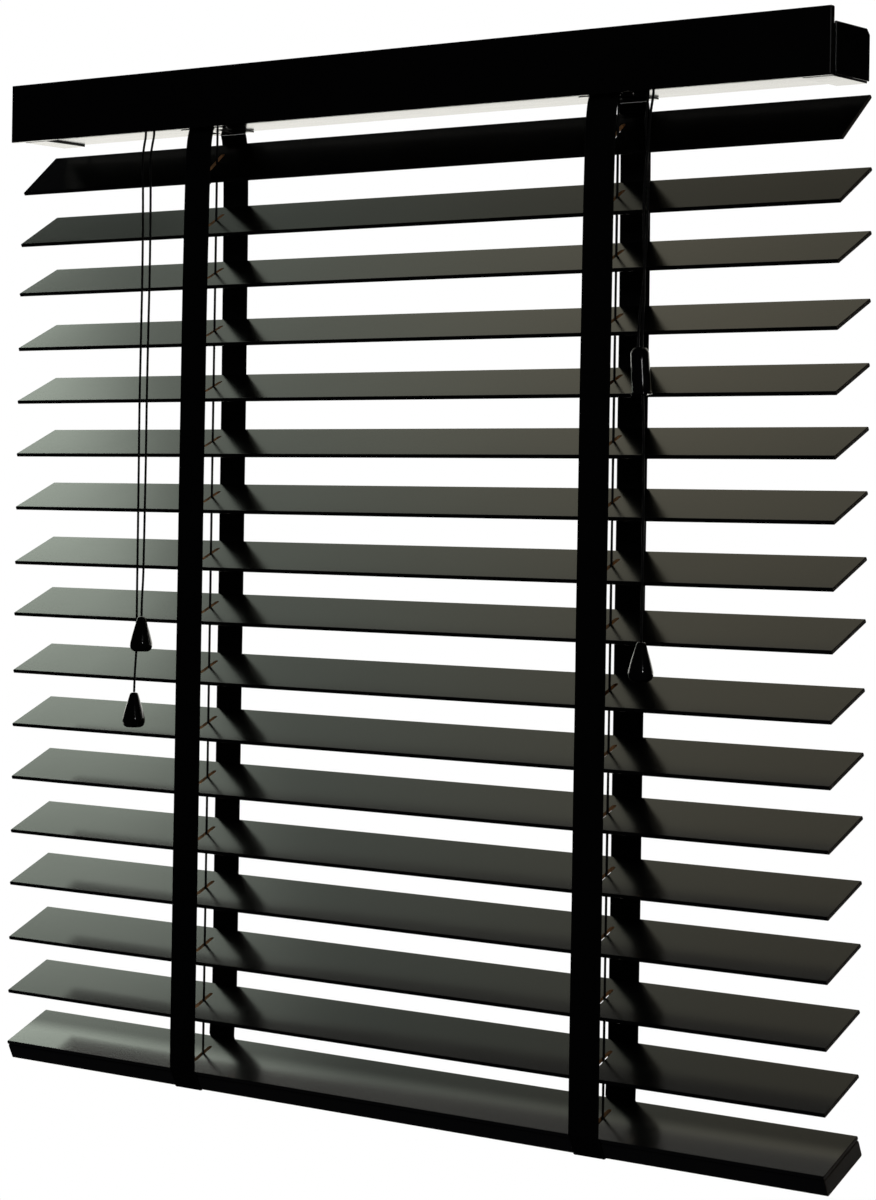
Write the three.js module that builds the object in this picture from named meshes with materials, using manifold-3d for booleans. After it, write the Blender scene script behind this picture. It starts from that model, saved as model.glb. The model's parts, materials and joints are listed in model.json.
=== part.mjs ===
// A 50 mm wooden venetian blind with ladder tapes, cord tilt and cord lift.
// Millimetres. X runs along the slats, +Y to the window, +Z up. The origin lies midway between the
// two brackets, in the plane of their tops, above the line through the slats' centres.

import * as THREE from 'three';
import { mergeVertices } from 'three/addons/utils/BufferGeometryUtils.js';
import Module from 'manifold-3d';

// ---- driving dimensions -------------------------------------------------------------------------

const BLIND_WIDTH = 780; // slats and bottom rail, end to end
const SLAT_DEPTH = 50;
const SLAT_THICKNESS = 3;
const SLAT_PITCH = 44.3;
const HUNG_SLATS = 16; // slats held by ladder rungs; one more lies on the bottom rail
const FIRST_SLAT_DROP = 64; // bracket top to the centre of the first slat
const RAIL_SLAT_PITCH = 42.3; // last hung slat to the slat on the bottom rail
const SLAT_TILT = 25; // degrees, window edge up
const TOP_SLAT_LEAN = 16; // degrees that the first slat tilts further, drawn in by the cradle
const LEAN_DECAY = 0.4; // share of that lean which each slat passes on to the next
// How far each rung is woven above an even spacing, from the top.
const RUNG_LIFTS = [2.4, 0.4, 2.4, 0.8, 1, 1.6, 1.8, 0.8, 2.6, -0.5, -0.5, 0.3, 0, 1];
const RAIL_THICKNESS = 13;

const LADDER_SPREAD = 386; // between the centres of the two ladders
const TAPE_WIDTH = 26.4;
const TAPE_THICKNESS = 0.6;
const TAPE_STAND_OFF = 24.5; // blind's centre plane to the middle of a hanging tape
const TAPE_AT_CRADLE = 18.3; // the same, where the tape leaves the headrail
const TAPE_LONG_DRAW = 2.6; // part of the tape's draw-in that fades slowly, over the upper slats
const TAPE_LONG_DROP = 90; // drop over which that part falls to a third
const TAPE_NEAR_DROP = 9; // the same for the rest, just below the headrail
const RUNG_WIDTH = 1.2;
const RUNG_THICKNESS = 0.8;
const RUNG_OFFSET = 8; // rung's distance from the ladder's centre line

const CORD_DIAMETER = 1.8;
const SLOT_LENGTH = 22; // cord slot in a slat, along its depth
const SLOT_WIDTH = 3.4;

const HEADRAIL_INSET = 7; // how far each end of the headrail stops short of the slats' ends
const HEADRAIL_FRONT = 23.5; // front and back faces, from the blind's centre plane
const HEADRAIL_BACK = 20.5;
const HEADRAIL_TOP_DROP = 1.5;
const HEADRAIL_HEIGHT = 33;
const HEADRAIL_WALL = 0.7;
const HEADRAIL_LIP = 4; // width of the flange turned in at each top edge

const BRACKET_WALL = 1.2;
const BRACKET_LENGTH = 24;
const BRACKET_SCREW_RADIUS = 2.2;
const BRACKET_SCREW_SPACING = 12;
const COVER_THICKNESS = 1.6;
const COVER_CHAMFER = 4;

const VALANCE_OVERHANG = 0; // valance past the slats at each end
const VALANCE_SHIFT = -3.5; // where it was clipped on, along X, from the middle of the blind
const VALANCE_THICKNESS = 5;
const VALANCE_ABOVE = 10.9; // valance top above the bracket tops
const VALANCE_BELOW = 36.1; // valance bottom below the bracket tops
const VALANCE_STAND_OFF = 2.5; // room for the clips between headrail and valance

const ROD_DROP = 17.5; // bracket top to the tilt rod's axis
const ROD_SIZE = 6; // square rod, across its flats
const ROD_OVERHANG = 16; // rod past the centre of the last part on it
const DRUM_RADIUS = 10.8;
const DRUM_HUB_RADIUS = 5.5;
const DRUM_HUB_LENGTH = 4;
const DRUM_FLANGE = 1.2;
const CRADLE_LENGTH = 42;
const CRADLE_DEPTH = 41;
const CRADLE_BASE = 1.4;
const CRADLE_FOOT = 1.2; // thickness of the plates under the headrail, one round each tape slot
const FOOT_LENGTH = 46;
const FOOT_DEPTH = 8.8;
const FOOT_BRIDGE = 12; // width of the bar that joins the two plates
const CRADLE_NECK_RADIUS = 4;
const TAPE_SLOT_WIDTH = 1.7;

const TILTER_X = -248;
const TILTER_LENGTH = 28;
const WORM_DROP = 27;
const WORM_RADIUS = 3.6;
const PULLEY_RADIUS = 4.5; // where the cord runs
const PULLEY_FLANGE = 5.8;
const TILT_CORD_Y = -19.5;

const LOCK_X = 237;
const LOCK_LENGTH = 26;
const LOCK_DEPTH = 25;
const LOCK_DROP = 9; // bracket top to the top of the lock's housing
const ROLLER_RADIUS = 3;
const ROLLER_LENGTH = 15;
const ROLLER_PIN_RADIUS = 1.2;
const ROLLER_TRAVEL = 4;
const ROLLER_SLOPE = 45; // degrees of the slots that the roller climbs

const TASSEL_HEIGHT = 27.6;
const TASSEL_RADIUS = 9;
const JOINER_LENGTH = 33;
const JOINER_RADIUS = 6.8;
const JOINER_BORE = 3.8;
const JOINER_LEAN = 4; // degrees

const HOUSING_WALL = 1.2;
const FIT = 0.3; // clearance between pieces that touch
const RUNNING_FIT = 0.4;

// ---- free cords: hand-set routes, from the headrail down ------------------------------------------

const TILT_CORD_NEAR = [
  [-243.5, -19.5, -33.2], [-243.4, -19.7, -38], [-242.6, -22.6, -47], [-240.8, -26.3, -58],
  [-239.2, -27.4, -72], [-238.2, -28, -100], [-238, -28, -145], [-238.6, -28, -200],
  [-239, -28, -250], [-239, -28, -300], [-239.3, -28, -340], [-239.2, -28.4, -370],
  [-238.2, -29.8, -392], [-236.2, -33, -411], [-234.6, -34.8, -422.4],
];
const TILT_CORD_FAR = [
  [-252.5, -19.5, -33.2], [-252.4, -19.7, -38], [-251.4, -22.6, -47], [-249.2, -26.3, -58],
  [-247.6, -27.4, -72], [-246.4, -28, -100], [-246, -28, -145], [-246.4, -28, -200],
  [-246.8, -28, -250], [-246.6, -28, -300], [-246.4, -28, -350], [-246.3, -28, -400],
  [-246, -28.1, -430], [-245, -29.2, -450], [-243.2, -32.4, -468.5], [-241.4, -34.8, -483],
];
const LIFT_CORD_LEFT = [
  [231.8, -19.6, -33.2], [231.9, -19.8, -38], [232.8, -22.6, -47], [234.6, -26.3, -58],
  [236.4, -27.4, -72], [238.2, -28.2, -92], [239.2, -28.9, -115], [238.9, -29.6, -140],
  [237.8, -30.6, -170], [235.8, -32, -195], [235.7, -33.2, -214], [236.9, -33.5, -226],
  [239.4, -33.5, -237], [240.4, -33.5, -252], [241.3, -33.5, -270], [242.2, -33.6, -320],
  [242.8, -34.2, -360], [243.2, -34.8, -400], [243.2, -34.8, -424],
];
const LIFT_CORD_RIGHT = [
  [236.2, -19.6, -33.2], [236.2, -19.8, -38], [236.8, -22.8, -47], [238, -26.6, -58],
  [238.8, -28.6, -72], [238.2, -30.7, -92], [237.4, -31.5, -115], [238.2, -32, -140],
  [239.4, -32.4, -170], [239.4, -33, -195], [239.2, -33.5, -214], [239.4, -33.5, -228],
];
const JOINER_TOP = [237.2, -33.5, -218];

// ---- sizes that follow ------------------------------------------------------------------------------

const rad = THREE.MathUtils.degToRad;
const ladders = [['left', -LADDER_SPREAD / 2], ['right', LADDER_SPREAD / 2]];
const headrailLength = BLIND_WIDTH - 2 * HEADRAIL_INSET;
const valanceLength = BLIND_WIDTH + 2 * VALANCE_OVERHANG;
const headrailTop = -HEADRAIL_TOP_DROP;
const headrailBottom = headrailTop - HEADRAIL_HEIGHT;
const headrailMiddle = (HEADRAIL_BACK - HEADRAIL_FRONT) / 2;
const floorTop = headrailBottom + HEADRAIL_WALL; // inside of the headrail's floor
const drumLength = TAPE_WIDTH + 2 * (DRUM_FLANGE + RUNNING_FIT); // the tape lies between its flanges
const drumReach = drumLength / 2 + DRUM_HUB_LENGTH;
const cordRadius = CORD_DIAMETER / 2;
const cordRun = floorTop + FIT + CRADLE_BASE + FIT + cordRadius; // height of the lift cords in the rail
const railGap = SLAT_THICKNESS / 2 + FIT; // slat's middle to the top of the bottom rail
const railBottom = railGap + RAIL_THICKNESS;
const rollerHeight = headrailBottom + 12;

const slatHeight = (i) => -FIRST_SLAT_DROP - (i - 1) * SLAT_PITCH + (RUNG_LIFTS[i - 1] ?? 0);
const slatTilt = (i) => rad(SLAT_TILT + TOP_SLAT_LEAN * LEAN_DECAY ** (i - 1));
const railSlatHeight = slatHeight(HUNG_SLATS) - RAIL_SLAT_PITCH;
const tapeNearDraw = TAPE_STAND_OFF - TAPE_AT_CRADLE - TAPE_LONG_DRAW;

// Distance of a hanging tape from the blind's centre plane: drawn in at the cradle, in two stages.
function tapeDistance(z) {
  const drop = headrailBottom - z;
  const nearDraw = tapeNearDraw * Math.exp(-drop / TAPE_NEAR_DROP);
  const longDraw = TAPE_LONG_DRAW * Math.exp(-drop / TAPE_LONG_DROP);
  return TAPE_STAND_OFF - nearDraw - longDraw;
}

// ---- materials --------------------------------------------------------------------------------------

const finish = (color, roughness, metalness = 0) =>
  new THREE.MeshStandardMaterial({ color, roughness, metalness });
const lacquer = finish(0x0b0b0a, 0.12);
const blackSteel = finish(0x0c0c0c, 0.2);
const blackPlastic = finish(0x0a0a0a, 0.15);
const blackTape = finish(0x0c0c0c, 0.9);
const blackCord = finish(0x101010, 0.75);
const clearNylon = finish(0xc9cbcc, 0.3);
const zincedSteel = finish(0xb9bcc0, 0.3, 0.9);

// ---- solids -----------------------------------------------------------------------------------------

const wasm = await Module();
wasm.setup();

function toSolid(geometry) {
  const bare = geometry.clone();
  bare.deleteAttribute('normal');
  bare.deleteAttribute('uv');
  const merged = mergeVertices(bare, 1e-4);
  return new wasm.Manifold(new wasm.Mesh({
    numProp: 3,
    vertProperties: new Float32Array(merged.attributes.position.array),
    triVerts: new Uint32Array(merged.index.array),
  }));
}

function toGeometry(solid) {
  const mesh = solid.getMesh();
  const geometry = new THREE.BufferGeometry();
  geometry.setAttribute('position', new THREE.BufferAttribute(mesh.vertProperties, 3));
  geometry.setIndex(new THREE.BufferAttribute(mesh.triVerts, 1));
  geometry.computeVertexNormals();
  return geometry;
}

const joined = (...geometries) => toGeometry(geometries.map(toSolid).reduce((a, b) => a.add(b)));
const cut = (body, ...tools) =>
  toGeometry(tools.map(toSolid).reduce((a, b) => a.subtract(b), toSolid(body)));

// A box given by its lowest and highest corners.
function block(low, high) {
  const size = high.map((value, k) => value - low[k]);
  const middle = high.map((value, k) => (value + low[k]) / 2);
  return new THREE.BoxGeometry(...size).translate(...middle);
}

// A round bar of the given length, centred on a point, along X, Y or Z.
function bar(radius, length, axis, centre, sides = 20) {
  const geometry = new THREE.CylinderGeometry(radius, radius, length, sides);
  if (axis === 'x') geometry.rotateZ(Math.PI / 2);
  if (axis === 'z') geometry.rotateX(Math.PI / 2);
  return geometry.translate(...centre);
}

// A body turned about Z from [radius, height] points, closed at both ends on the axis.
const turned = (profile, sides = 24) =>
  new THREE.LatheGeometry(profile.map(([r, h]) => new THREE.Vector2(r, h)), sides).rotateX(Math.PI / 2);

// The outline of a bar with round ends, its long side along Y.
function roundEnded(hole, x, y, length, width, segments = 4) {
  const radius = width / 2;
  const reach = length / 2 - radius;
  hole.absarc(x, y + reach, radius, 0, Math.PI, false);
  hole.absarc(x, y - reach, radius, Math.PI, 2 * Math.PI, false);
  hole.closePath();
  return hole.getPoints(segments);
}

// A plate in the XY plane with round-ended slots, from height z up.
function slottedPlate(width, depth, thickness, z, slots) {
  const outline = new THREE.Shape();
  outline.moveTo(-width / 2, -depth / 2);
  outline.lineTo(width / 2, -depth / 2);
  outline.lineTo(width / 2, depth / 2);
  outline.lineTo(-width / 2, depth / 2);
  outline.closePath();
  for (const [x, y, length, slotWidth] of slots) {
    outline.holes.push(new THREE.Path(roundEnded(new THREE.Path(), x, y, length, slotWidth)));
  }
  return new THREE.ExtrudeGeometry(outline, { depth: thickness, bevelEnabled: false }).translate(0, 0, z);
}

// An outline of [y, z] points carried along X, centred on x.
function carriedAlongX(points, length, x = 0) {
  const outline = new THREE.Shape(points.map(([y, z]) => new THREE.Vector2(y, z)));
  return new THREE.ExtrudeGeometry(outline, { depth: length, bevelEnabled: false })
    .rotateY(Math.PI / 2).rotateX(Math.PI / 2).translate(x - length / 2, 0, 0);
}

// A cord of 8 sides along a smooth curve through the points.
function cordAlong(points, steps) {
  const curve = new THREE.CatmullRomCurve3(points.map((p) => new THREE.Vector3(...p)));
  const section = new THREE.Shape();
  for (let side = 0; side < 8; side += 1) {
    const turn = (side / 8) * 2 * Math.PI;
    const point = [cordRadius * Math.cos(turn), cordRadius * Math.sin(turn)];
    if (side === 0) section.moveTo(...point);
    else section.lineTo(...point);
  }
  section.closePath();
  return new THREE.ExtrudeGeometry(section, { steps, extrudePath: curve, bevelEnabled: false });
}

// A cord drawn straight from point to point, with a ball at each bend.
function strand(points, radius) {
  const parts = [];
  for (let k = 1; k < points.length; k += 1) {
    const a = new THREE.Vector3(...points[k - 1]);
    const b = new THREE.Vector3(...points[k]);
    const run = b.clone().sub(a);
    const turn = new THREE.Quaternion().setFromUnitVectors(new THREE.Vector3(0, 1, 0), run.clone().normalize());
    const middle = a.clone().add(b).divideScalar(2);
    parts.push(new THREE.CylinderGeometry(radius, radius, run.length(), 8)
      .applyQuaternion(turn).translate(...middle.toArray()));
    if (k < points.length - 1) parts.push(new THREE.SphereGeometry(radius, 8, 6).translate(...points[k]));
  }
  return parts;
}

// ---- the blind --------------------------------------------------------------------------------------

const blind = new THREE.Group();

function add(name, geometry, material, parent = blind) {
  const mesh = new THREE.Mesh(geometry, material);
  mesh.name = name;
  parent.add(mesh);
  return mesh;
}

// ---- headrail, brackets and valance -----------------------------------------------------------------

function headrailChannel() {
  const [front, back] = [-HEADRAIL_FRONT, HEADRAIL_BACK];
  const wall = HEADRAIL_WALL;
  const section = [
    [front, headrailBottom], [back, headrailBottom], [back, headrailTop], [back - HEADRAIL_LIP, headrailTop],
    [back - HEADRAIL_LIP, headrailTop - wall], [back - wall, headrailTop - wall],
    [back - wall, floorTop], [front + wall, floorTop], [front + wall, headrailTop - wall],
    [front + HEADRAIL_LIP, headrailTop - wall], [front + HEADRAIL_LIP, headrailTop], [front, headrailTop],
  ];
  const [low, high] = [headrailBottom - HEADRAIL_WALL, floorTop + HEADRAIL_WALL];
  const openings = [];
  for (const [, x] of ladders) {
    openings.push(bar(CRADLE_NECK_RADIUS + FIT, high - low, 'z', [x, 0, (low + high) / 2]));
    for (const y of [-TAPE_AT_CRADLE, TAPE_AT_CRADLE]) {
      const half = (TAPE_SLOT_WIDTH + FIT) / 2;
      openings.push(block([x - TAPE_WIDTH / 2 - 1, y - half, low], [x + TAPE_WIDTH / 2 + 1, y + half, high]));
    }
  }
  const tiltHalf = PULLEY_RADIUS + cordRadius + 1;
  openings.push(block([TILTER_X - tiltHalf, TILT_CORD_Y - 2, low],
    [TILTER_X + tiltHalf, TILT_CORD_Y + 2, high]));
  openings.push(block([LIFT_CORD_LEFT[0][0] - 2, TILT_CORD_Y - 2, low],
    [LIFT_CORD_RIGHT[0][0] + 2, TILT_CORD_Y + 2, high]));
  return cut(carriedAlongX(section, headrailLength), ...openings);
}

// A sleeve open to the front and to the middle of the blind; side is -1 at the left and 1 at the right.
function bracket(side) {
  const wall = BRACKET_WALL;
  const inner = side * (headrailLength / 2 + FIT);
  const outer = inner + side * wall;
  const mouth = outer - side * BRACKET_LENGTH;
  const [x0, x1] = [Math.min(mouth, outer), Math.max(mouth, outer)];
  const [w0, w1] = [Math.min(mouth - side, inner), Math.max(mouth - side, inner)];
  const back = HEADRAIL_BACK + FIT + wall;
  const top = headrailTop + FIT + wall;
  const bottom = headrailBottom - FIT - wall;
  const shell = block([x0, -HEADRAIL_FRONT, bottom], [x1, back, top]);
  const room = block([w0, -HEADRAIL_FRONT - 1, bottom + wall], [w1, back - wall, top - wall]);
  const screws = [];
  for (const step of [-0.5, 0.5]) {
    const x = (x0 + x1) / 2;
    const y = headrailMiddle + step * BRACKET_SCREW_SPACING;
    screws.push(bar(BRACKET_SCREW_RADIUS, 3 * wall, 'z', [x, y, top - wall / 2]));
    const z = (top + bottom) / 2 + step * BRACKET_SCREW_SPACING;
    screws.push(bar(BRACKET_SCREW_RADIUS, 3 * wall, 'y', [x, back - wall / 2, z]));
  }
  return cut(shell, room, ...screws);
}

// A flat black cap over the bracket's outer side, its top corner at the window cut away.
// It stands above the bracket by the wall's thickness and leaves the bottom flange's edge in sight.
function endCover(side) {
  const inner = side * (headrailLength / 2 + FIT + BRACKET_WALL + FIT);
  const back = HEADRAIL_BACK + FIT + BRACKET_WALL;
  const top = headrailTop + FIT + 2 * BRACKET_WALL;
  const bottom = headrailBottom - FIT;
  const outline = [
    [-HEADRAIL_FRONT, bottom], [back, bottom], [back, top - COVER_CHAMFER],
    [back - COVER_CHAMFER, top], [-HEADRAIL_FRONT, top],
  ];
  return carriedAlongX(outline, COVER_THICKNESS, inner + side * COVER_THICKNESS / 2);
}

function valance() {
  const back = -HEADRAIL_FRONT - VALANCE_STAND_OFF;
  const front = back - VALANCE_THICKNESS;
  const ease = 0.6; // flat that breaks the front edges
  return carriedAlongX([
    [back, -VALANCE_BELOW], [back, VALANCE_ABOVE], [front + ease, VALANCE_ABOVE],
    [front, VALANCE_ABOVE - ease], [front, ease - VALANCE_BELOW], [front + ease, -VALANCE_BELOW],
  ].reverse(), valanceLength, VALANCE_SHIFT);
}

add('headrail', headrailChannel(), blackSteel);
add('valance', valance(), lacquer);
for (const [name, side] of [['left', -1], ['right', 1]]) {
  add(`bracket_${name}`, bracket(side), blackSteel);
  add(`end_cover_${name}`, endCover(side), blackPlastic);
}

// ---- tilting parts in the headrail --------------------------------------------------------------------

// A drum turned about X with a hub at each end and a square hole for the rod.
function ladderDrum(x) {
  const half = drumLength / 2;
  const rim = DRUM_RADIUS + DRUM_FLANGE;
  const profile = [
    [0, -drumReach], [DRUM_HUB_RADIUS, -drumReach], [DRUM_HUB_RADIUS, -half], [rim, -half],
    [rim, DRUM_FLANGE - half], [DRUM_RADIUS, DRUM_FLANGE - half], [DRUM_RADIUS, half - DRUM_FLANGE],
    [rim, half - DRUM_FLANGE], [rim, half], [DRUM_HUB_RADIUS, half], [DRUM_HUB_RADIUS, drumReach],
    [0, drumReach],
  ];
  const hole = ROD_SIZE / 2 + FIT;
  const body = turned(profile, 28).rotateY(Math.PI / 2);
  const bore = block([-drumReach - 1, -hole, -hole], [drumReach + 1, hole, hole]);
  return cut(body, bore).translate(x, 0, -ROD_DROP);
}

// A plate with round ends, its long side along X, from height z up.
function stadiumPlate(y, length, depth, thickness, z) {
  const radius = depth / 2;
  const reach = length / 2 - radius;
  const outline = new THREE.Shape();
  outline.absarc(reach, y, radius, -Math.PI / 2, Math.PI / 2, false);
  outline.absarc(-reach, y, radius, Math.PI / 2, 1.5 * Math.PI, false);
  outline.closePath();
  return new THREE.ExtrudeGeometry(outline, { depth: thickness, bevelEnabled: false, curveSegments: 8 })
    .translate(0, 0, z);
}

// A base inside the headrail with two bearing walls, joined by a hollow neck to two foot plates outside,
// one round each tape slot, and the bar between them.
function ladderCradle(x) {
  const baseLow = floorTop + FIT;
  const baseHigh = baseLow + CRADLE_BASE;
  const footHigh = headrailBottom - FIT;
  const half = TAPE_WIDTH / 2 + 1;
  const base = block([-CRADLE_LENGTH / 2, -CRADLE_DEPTH / 2 + 1, baseLow],
    [CRADLE_LENGTH / 2, CRADLE_DEPTH / 2 - 1, baseHigh]);
  const footLow = footHigh - CRADLE_FOOT;
  const footMiddle = (CRADLE_DEPTH - FOOT_DEPTH) / 2;
  const feet = [-footMiddle, footMiddle].map((y) =>
    stadiumPlate(y, FOOT_LENGTH, FOOT_DEPTH, CRADLE_FOOT, footLow));
  const bridge = block([-FOOT_BRIDGE / 2, -footMiddle, footLow], [FOOT_BRIDGE / 2, footMiddle, footHigh]);
  const neck = bar(CRADLE_NECK_RADIUS, baseHigh - footLow, 'z', [0, 0, (baseHigh + footLow) / 2]);
  const wallInner = drumLength / 2 + RUNNING_FIT;
  const wallOuter = wallInner + DRUM_HUB_LENGTH - 1;
  const walls = [-1, 1].map((side) => {
    const [x0, x1] = [side * wallInner, side * wallOuter].sort((a, b) => a - b);
    return block([x0, -9, baseLow], [x1, 9, -ROD_DROP]);
  });
  const body = joined(base, bridge, ...feet, neck, ...walls);
  const cutters = [
    bar(DRUM_HUB_RADIUS + RUNNING_FIT, CRADLE_LENGTH, 'x', [0, 0, -ROD_DROP]),
    bar(CORD_DIAMETER, 12, 'z', [0, 0, headrailBottom]),
    block([-CRADLE_LENGTH, -4.5, baseHigh], [CRADLE_LENGTH, 4.5, baseHigh + 4]),
  ];
  for (const y of [-TAPE_AT_CRADLE, TAPE_AT_CRADLE]) {
    const slotHalf = TAPE_SLOT_WIDTH / 2;
    cutters.push(block([-half, y - slotHalf, headrailBottom - 4], [half, y + slotHalf, baseHigh + 1]));
  }
  return cut(body, ...cutters).translate(x, 0, 0);
}

function tiltRod() {
  const end = LADDER_SPREAD / 2 + ROD_OVERHANG;
  const half = ROD_SIZE / 2;
  return block([TILTER_X - ROD_OVERHANG, -half, -ROD_DROP - half], [end, half, -ROD_DROP + half]);
}

// An open-topped box with holes for the rod and the worm, and a slot under the pulley for its cords.
function tilterHousing() {
  const wall = HOUSING_WALL;
  const [x0, x1] = [TILTER_X - TILTER_LENGTH / 2, TILTER_X + TILTER_LENGTH / 2];
  const [y0, y1] = [-HEADRAIL_FRONT + HEADRAIL_WALL + FIT, 10];
  const [z0, z1] = [floorTop + FIT, -ROD_DROP + 12];
  const shell = block([x0, y0, z0], [x1, y1, z1]);
  const room = block([x0 + wall, y0 + wall, z0 + wall], [x1 - wall, y1 - wall, z1 + 1]);
  const rodHole = bar(ROD_SIZE, TILTER_LENGTH + 2, 'x', [TILTER_X, 0, -ROD_DROP]);
  const wormHole = bar(2 + RUNNING_FIT, 6, 'y', [TILTER_X, y1, -WORM_DROP]);
  const cordHole = block([TILTER_X - PULLEY_FLANGE - 1, TILT_CORD_Y - 2, z0 - 1],
    [TILTER_X + PULLEY_FLANGE + 1, TILT_CORD_Y + 2, z0 + wall + 1]);
  return cut(shell, room, rodHole, wormHole, cordHole);
}

// A worm, its shaft and the grooved pulley that the tilt cords turn, about an axis along Y.
function wormPulley() {
  const groove = 1.6;
  const [front, back] = [TILT_CORD_Y - groove, TILT_CORD_Y + groove];
  const wormHalf = 7;
  const shaftEnd = 10.6;
  const profile = [
    [0, front], [PULLEY_FLANGE, front], [PULLEY_FLANGE, front + 0.6], [PULLEY_RADIUS - cordRadius, TILT_CORD_Y],
    [PULLEY_FLANGE, back - 0.6], [PULLEY_FLANGE, back], [2, back], [2, -wormHalf], [WORM_RADIUS, -wormHalf],
    [WORM_RADIUS, wormHalf], [2, wormHalf], [2, shaftEnd], [0, shaftEnd],
  ];
  return turned(profile).rotateX(-Math.PI / 2).translate(TILTER_X, 0, -WORM_DROP);
}

add('tilt_rod', tiltRod(), zincedSteel);
add('tilter_housing', tilterHousing(), blackPlastic);
add('tilter_worm_pulley', wormPulley(), clearNylon);
for (const [name, x] of ladders) {
  add(`ladder_drum_${name}`, ladderDrum(x), clearNylon);
  add(`ladder_cradle_${name}`, ladderCradle(x), blackPlastic);
}

// ---- cord lock ----------------------------------------------------------------------------------------

// An open-topped box whose long walls carry slanted slots for the roller's pins.
function cordLock() {
  const wall = HOUSING_WALL;
  const [x0, x1] = [LOCK_X - LOCK_LENGTH / 2, LOCK_X + LOCK_LENGTH / 2];
  const y0 = -HEADRAIL_FRONT + HEADRAIL_WALL + FIT;
  const y1 = y0 + LOCK_DEPTH;
  const z0 = floorTop + FIT;
  const shell = block([x0, y0, z0], [x1, y1, -LOCK_DROP]);
  const room = block([x0 + wall, y0 + wall, z0 + wall], [x1 - wall, y1 - wall, 0]);
  const inlet = block([x0 - 1, y1 - 6, z0 + wall], [x0 + wall + 1, y1 - wall, cordRun + 3]);
  const outlet = block([LIFT_CORD_LEFT[0][0] - 1.6, TILT_CORD_Y - 1.6, z0 - 1],
    [LIFT_CORD_RIGHT[0][0] + 1.6, TILT_CORD_Y + 1.6, z0 + wall + 1]);
  const slotLength = ROLLER_TRAVEL + 2 * (ROLLER_PIN_RADIUS + FIT);
  const slot = new THREE.BoxGeometry(slotLength, LOCK_DEPTH + 2, 2 * (ROLLER_PIN_RADIUS + FIT))
    .translate(ROLLER_TRAVEL / 2, 0, 0).rotateY(-rad(ROLLER_SLOPE))
    .translate(LOCK_X, (y0 + y1) / 2, rollerHeight);
  return cut(shell, room, inlet, outlet, slot);
}

function lockRoller() {
  const middle = -HEADRAIL_FRONT + HEADRAIL_WALL + FIT + LOCK_DEPTH / 2;
  const pin = LOCK_DEPTH / 2;
  const half = ROLLER_LENGTH / 2;
  return turned([
    [0, -pin], [ROLLER_PIN_RADIUS, -pin], [ROLLER_PIN_RADIUS, -half], [ROLLER_RADIUS, -half],
    [ROLLER_RADIUS, half], [ROLLER_PIN_RADIUS, half], [ROLLER_PIN_RADIUS, pin], [0, pin],
  ], 16).rotateX(-Math.PI / 2).translate(LOCK_X, middle, rollerHeight);
}

add('cord_lock', cordLock(), blackPlastic);
add('cord_lock_roller', lockRoller(), zincedSteel);

// ---- slats, rungs and bottom rail -----------------------------------------------------------------------

// A slat's own frame: its centre, tilted about X.
function slatFrame(z, tilt) {
  const frame = new THREE.Group();
  frame.position.set(0, 0, z);
  frame.rotation.x = tilt;
  blind.add(frame);
  return frame;
}

const slat = () => slottedPlate(BLIND_WIDTH, SLAT_DEPTH, SLAT_THICKNESS, -SLAT_THICKNESS / 2,
  ladders.map(([, x]) => [x, 0, SLOT_LENGTH, SLOT_WIDTH]));

// A rung lies under the slat, from the face of one tape to the face of the other.
function rung(i) {
  const tilt = slatTilt(i);
  const low = -SLAT_THICKNESS / 2 - FIT - RUNG_THICKNESS;
  const reach = tapeDistance(slatHeight(i)) - TAPE_THICKNESS / 2 - FIT;
  const slip = (low + RUNG_THICKNESS) * Math.sin(tilt);
  const front = (slip - reach) / Math.cos(tilt);
  const back = (low * Math.sin(tilt) + reach) / Math.cos(tilt);
  const x = -LADDER_SPREAD / 2 + RUNG_OFFSET;
  return block([x - RUNG_WIDTH / 2, front, low], [x + RUNG_WIDTH / 2, back, low + RUNG_THICKNESS]);
}

// The bottom rail, with a slot for each lift cord and a pocket below it for the cord's knot.
function bottomRail() {
  const half = SLAT_DEPTH / 2;
  const ease = 1.2;
  const section = [
    [-half, -railGap], [-half, ease - railBottom], [ease - half, -railBottom], [half - ease, -railBottom],
    [half, ease - railBottom], [half, -railGap],
  ];
  const cutters = [];
  for (const [, x] of ladders) {
    cutters.push(block([x - SLOT_WIDTH / 2, -8, -railBottom], [x + SLOT_WIDTH / 2, 3, 0]));
    cutters.push(block([x - 4.5, -12, -railBottom - 1], [x + 4.5, 3, -railBottom + 6]));
  }
  return cut(carriedAlongX(section, BLIND_WIDTH), ...cutters);
}

for (let i = 1; i <= HUNG_SLATS; i += 1) {
  const frame = slatFrame(slatHeight(i), slatTilt(i));
  const number = String(i).padStart(2, '0');
  add(`slat_${number}`, slat(), lacquer, frame);
  if (i > 1) add(`ladder_rung_${number}`, rung(i), blackTape, frame);
}
const railFrame = slatFrame(railSlatHeight, rad(SLAT_TILT));
add(`slat_${HUNG_SLATS + 1}`, slat(), lacquer, railFrame);
add('bottom_rail', bottomRail(), lacquer, railFrame);

// ---- ladder tapes -----------------------------------------------------------------------------------------

// A point of the bottom rail's section, [depth, height], carried into the blind's [y, z].
function onRail([v, w]) {
  const tilt = rad(SLAT_TILT);
  return [v * Math.cos(tilt) - w * Math.sin(tilt), railSlatHeight + v * Math.sin(tilt) + w * Math.cos(tilt)];
}

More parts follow.
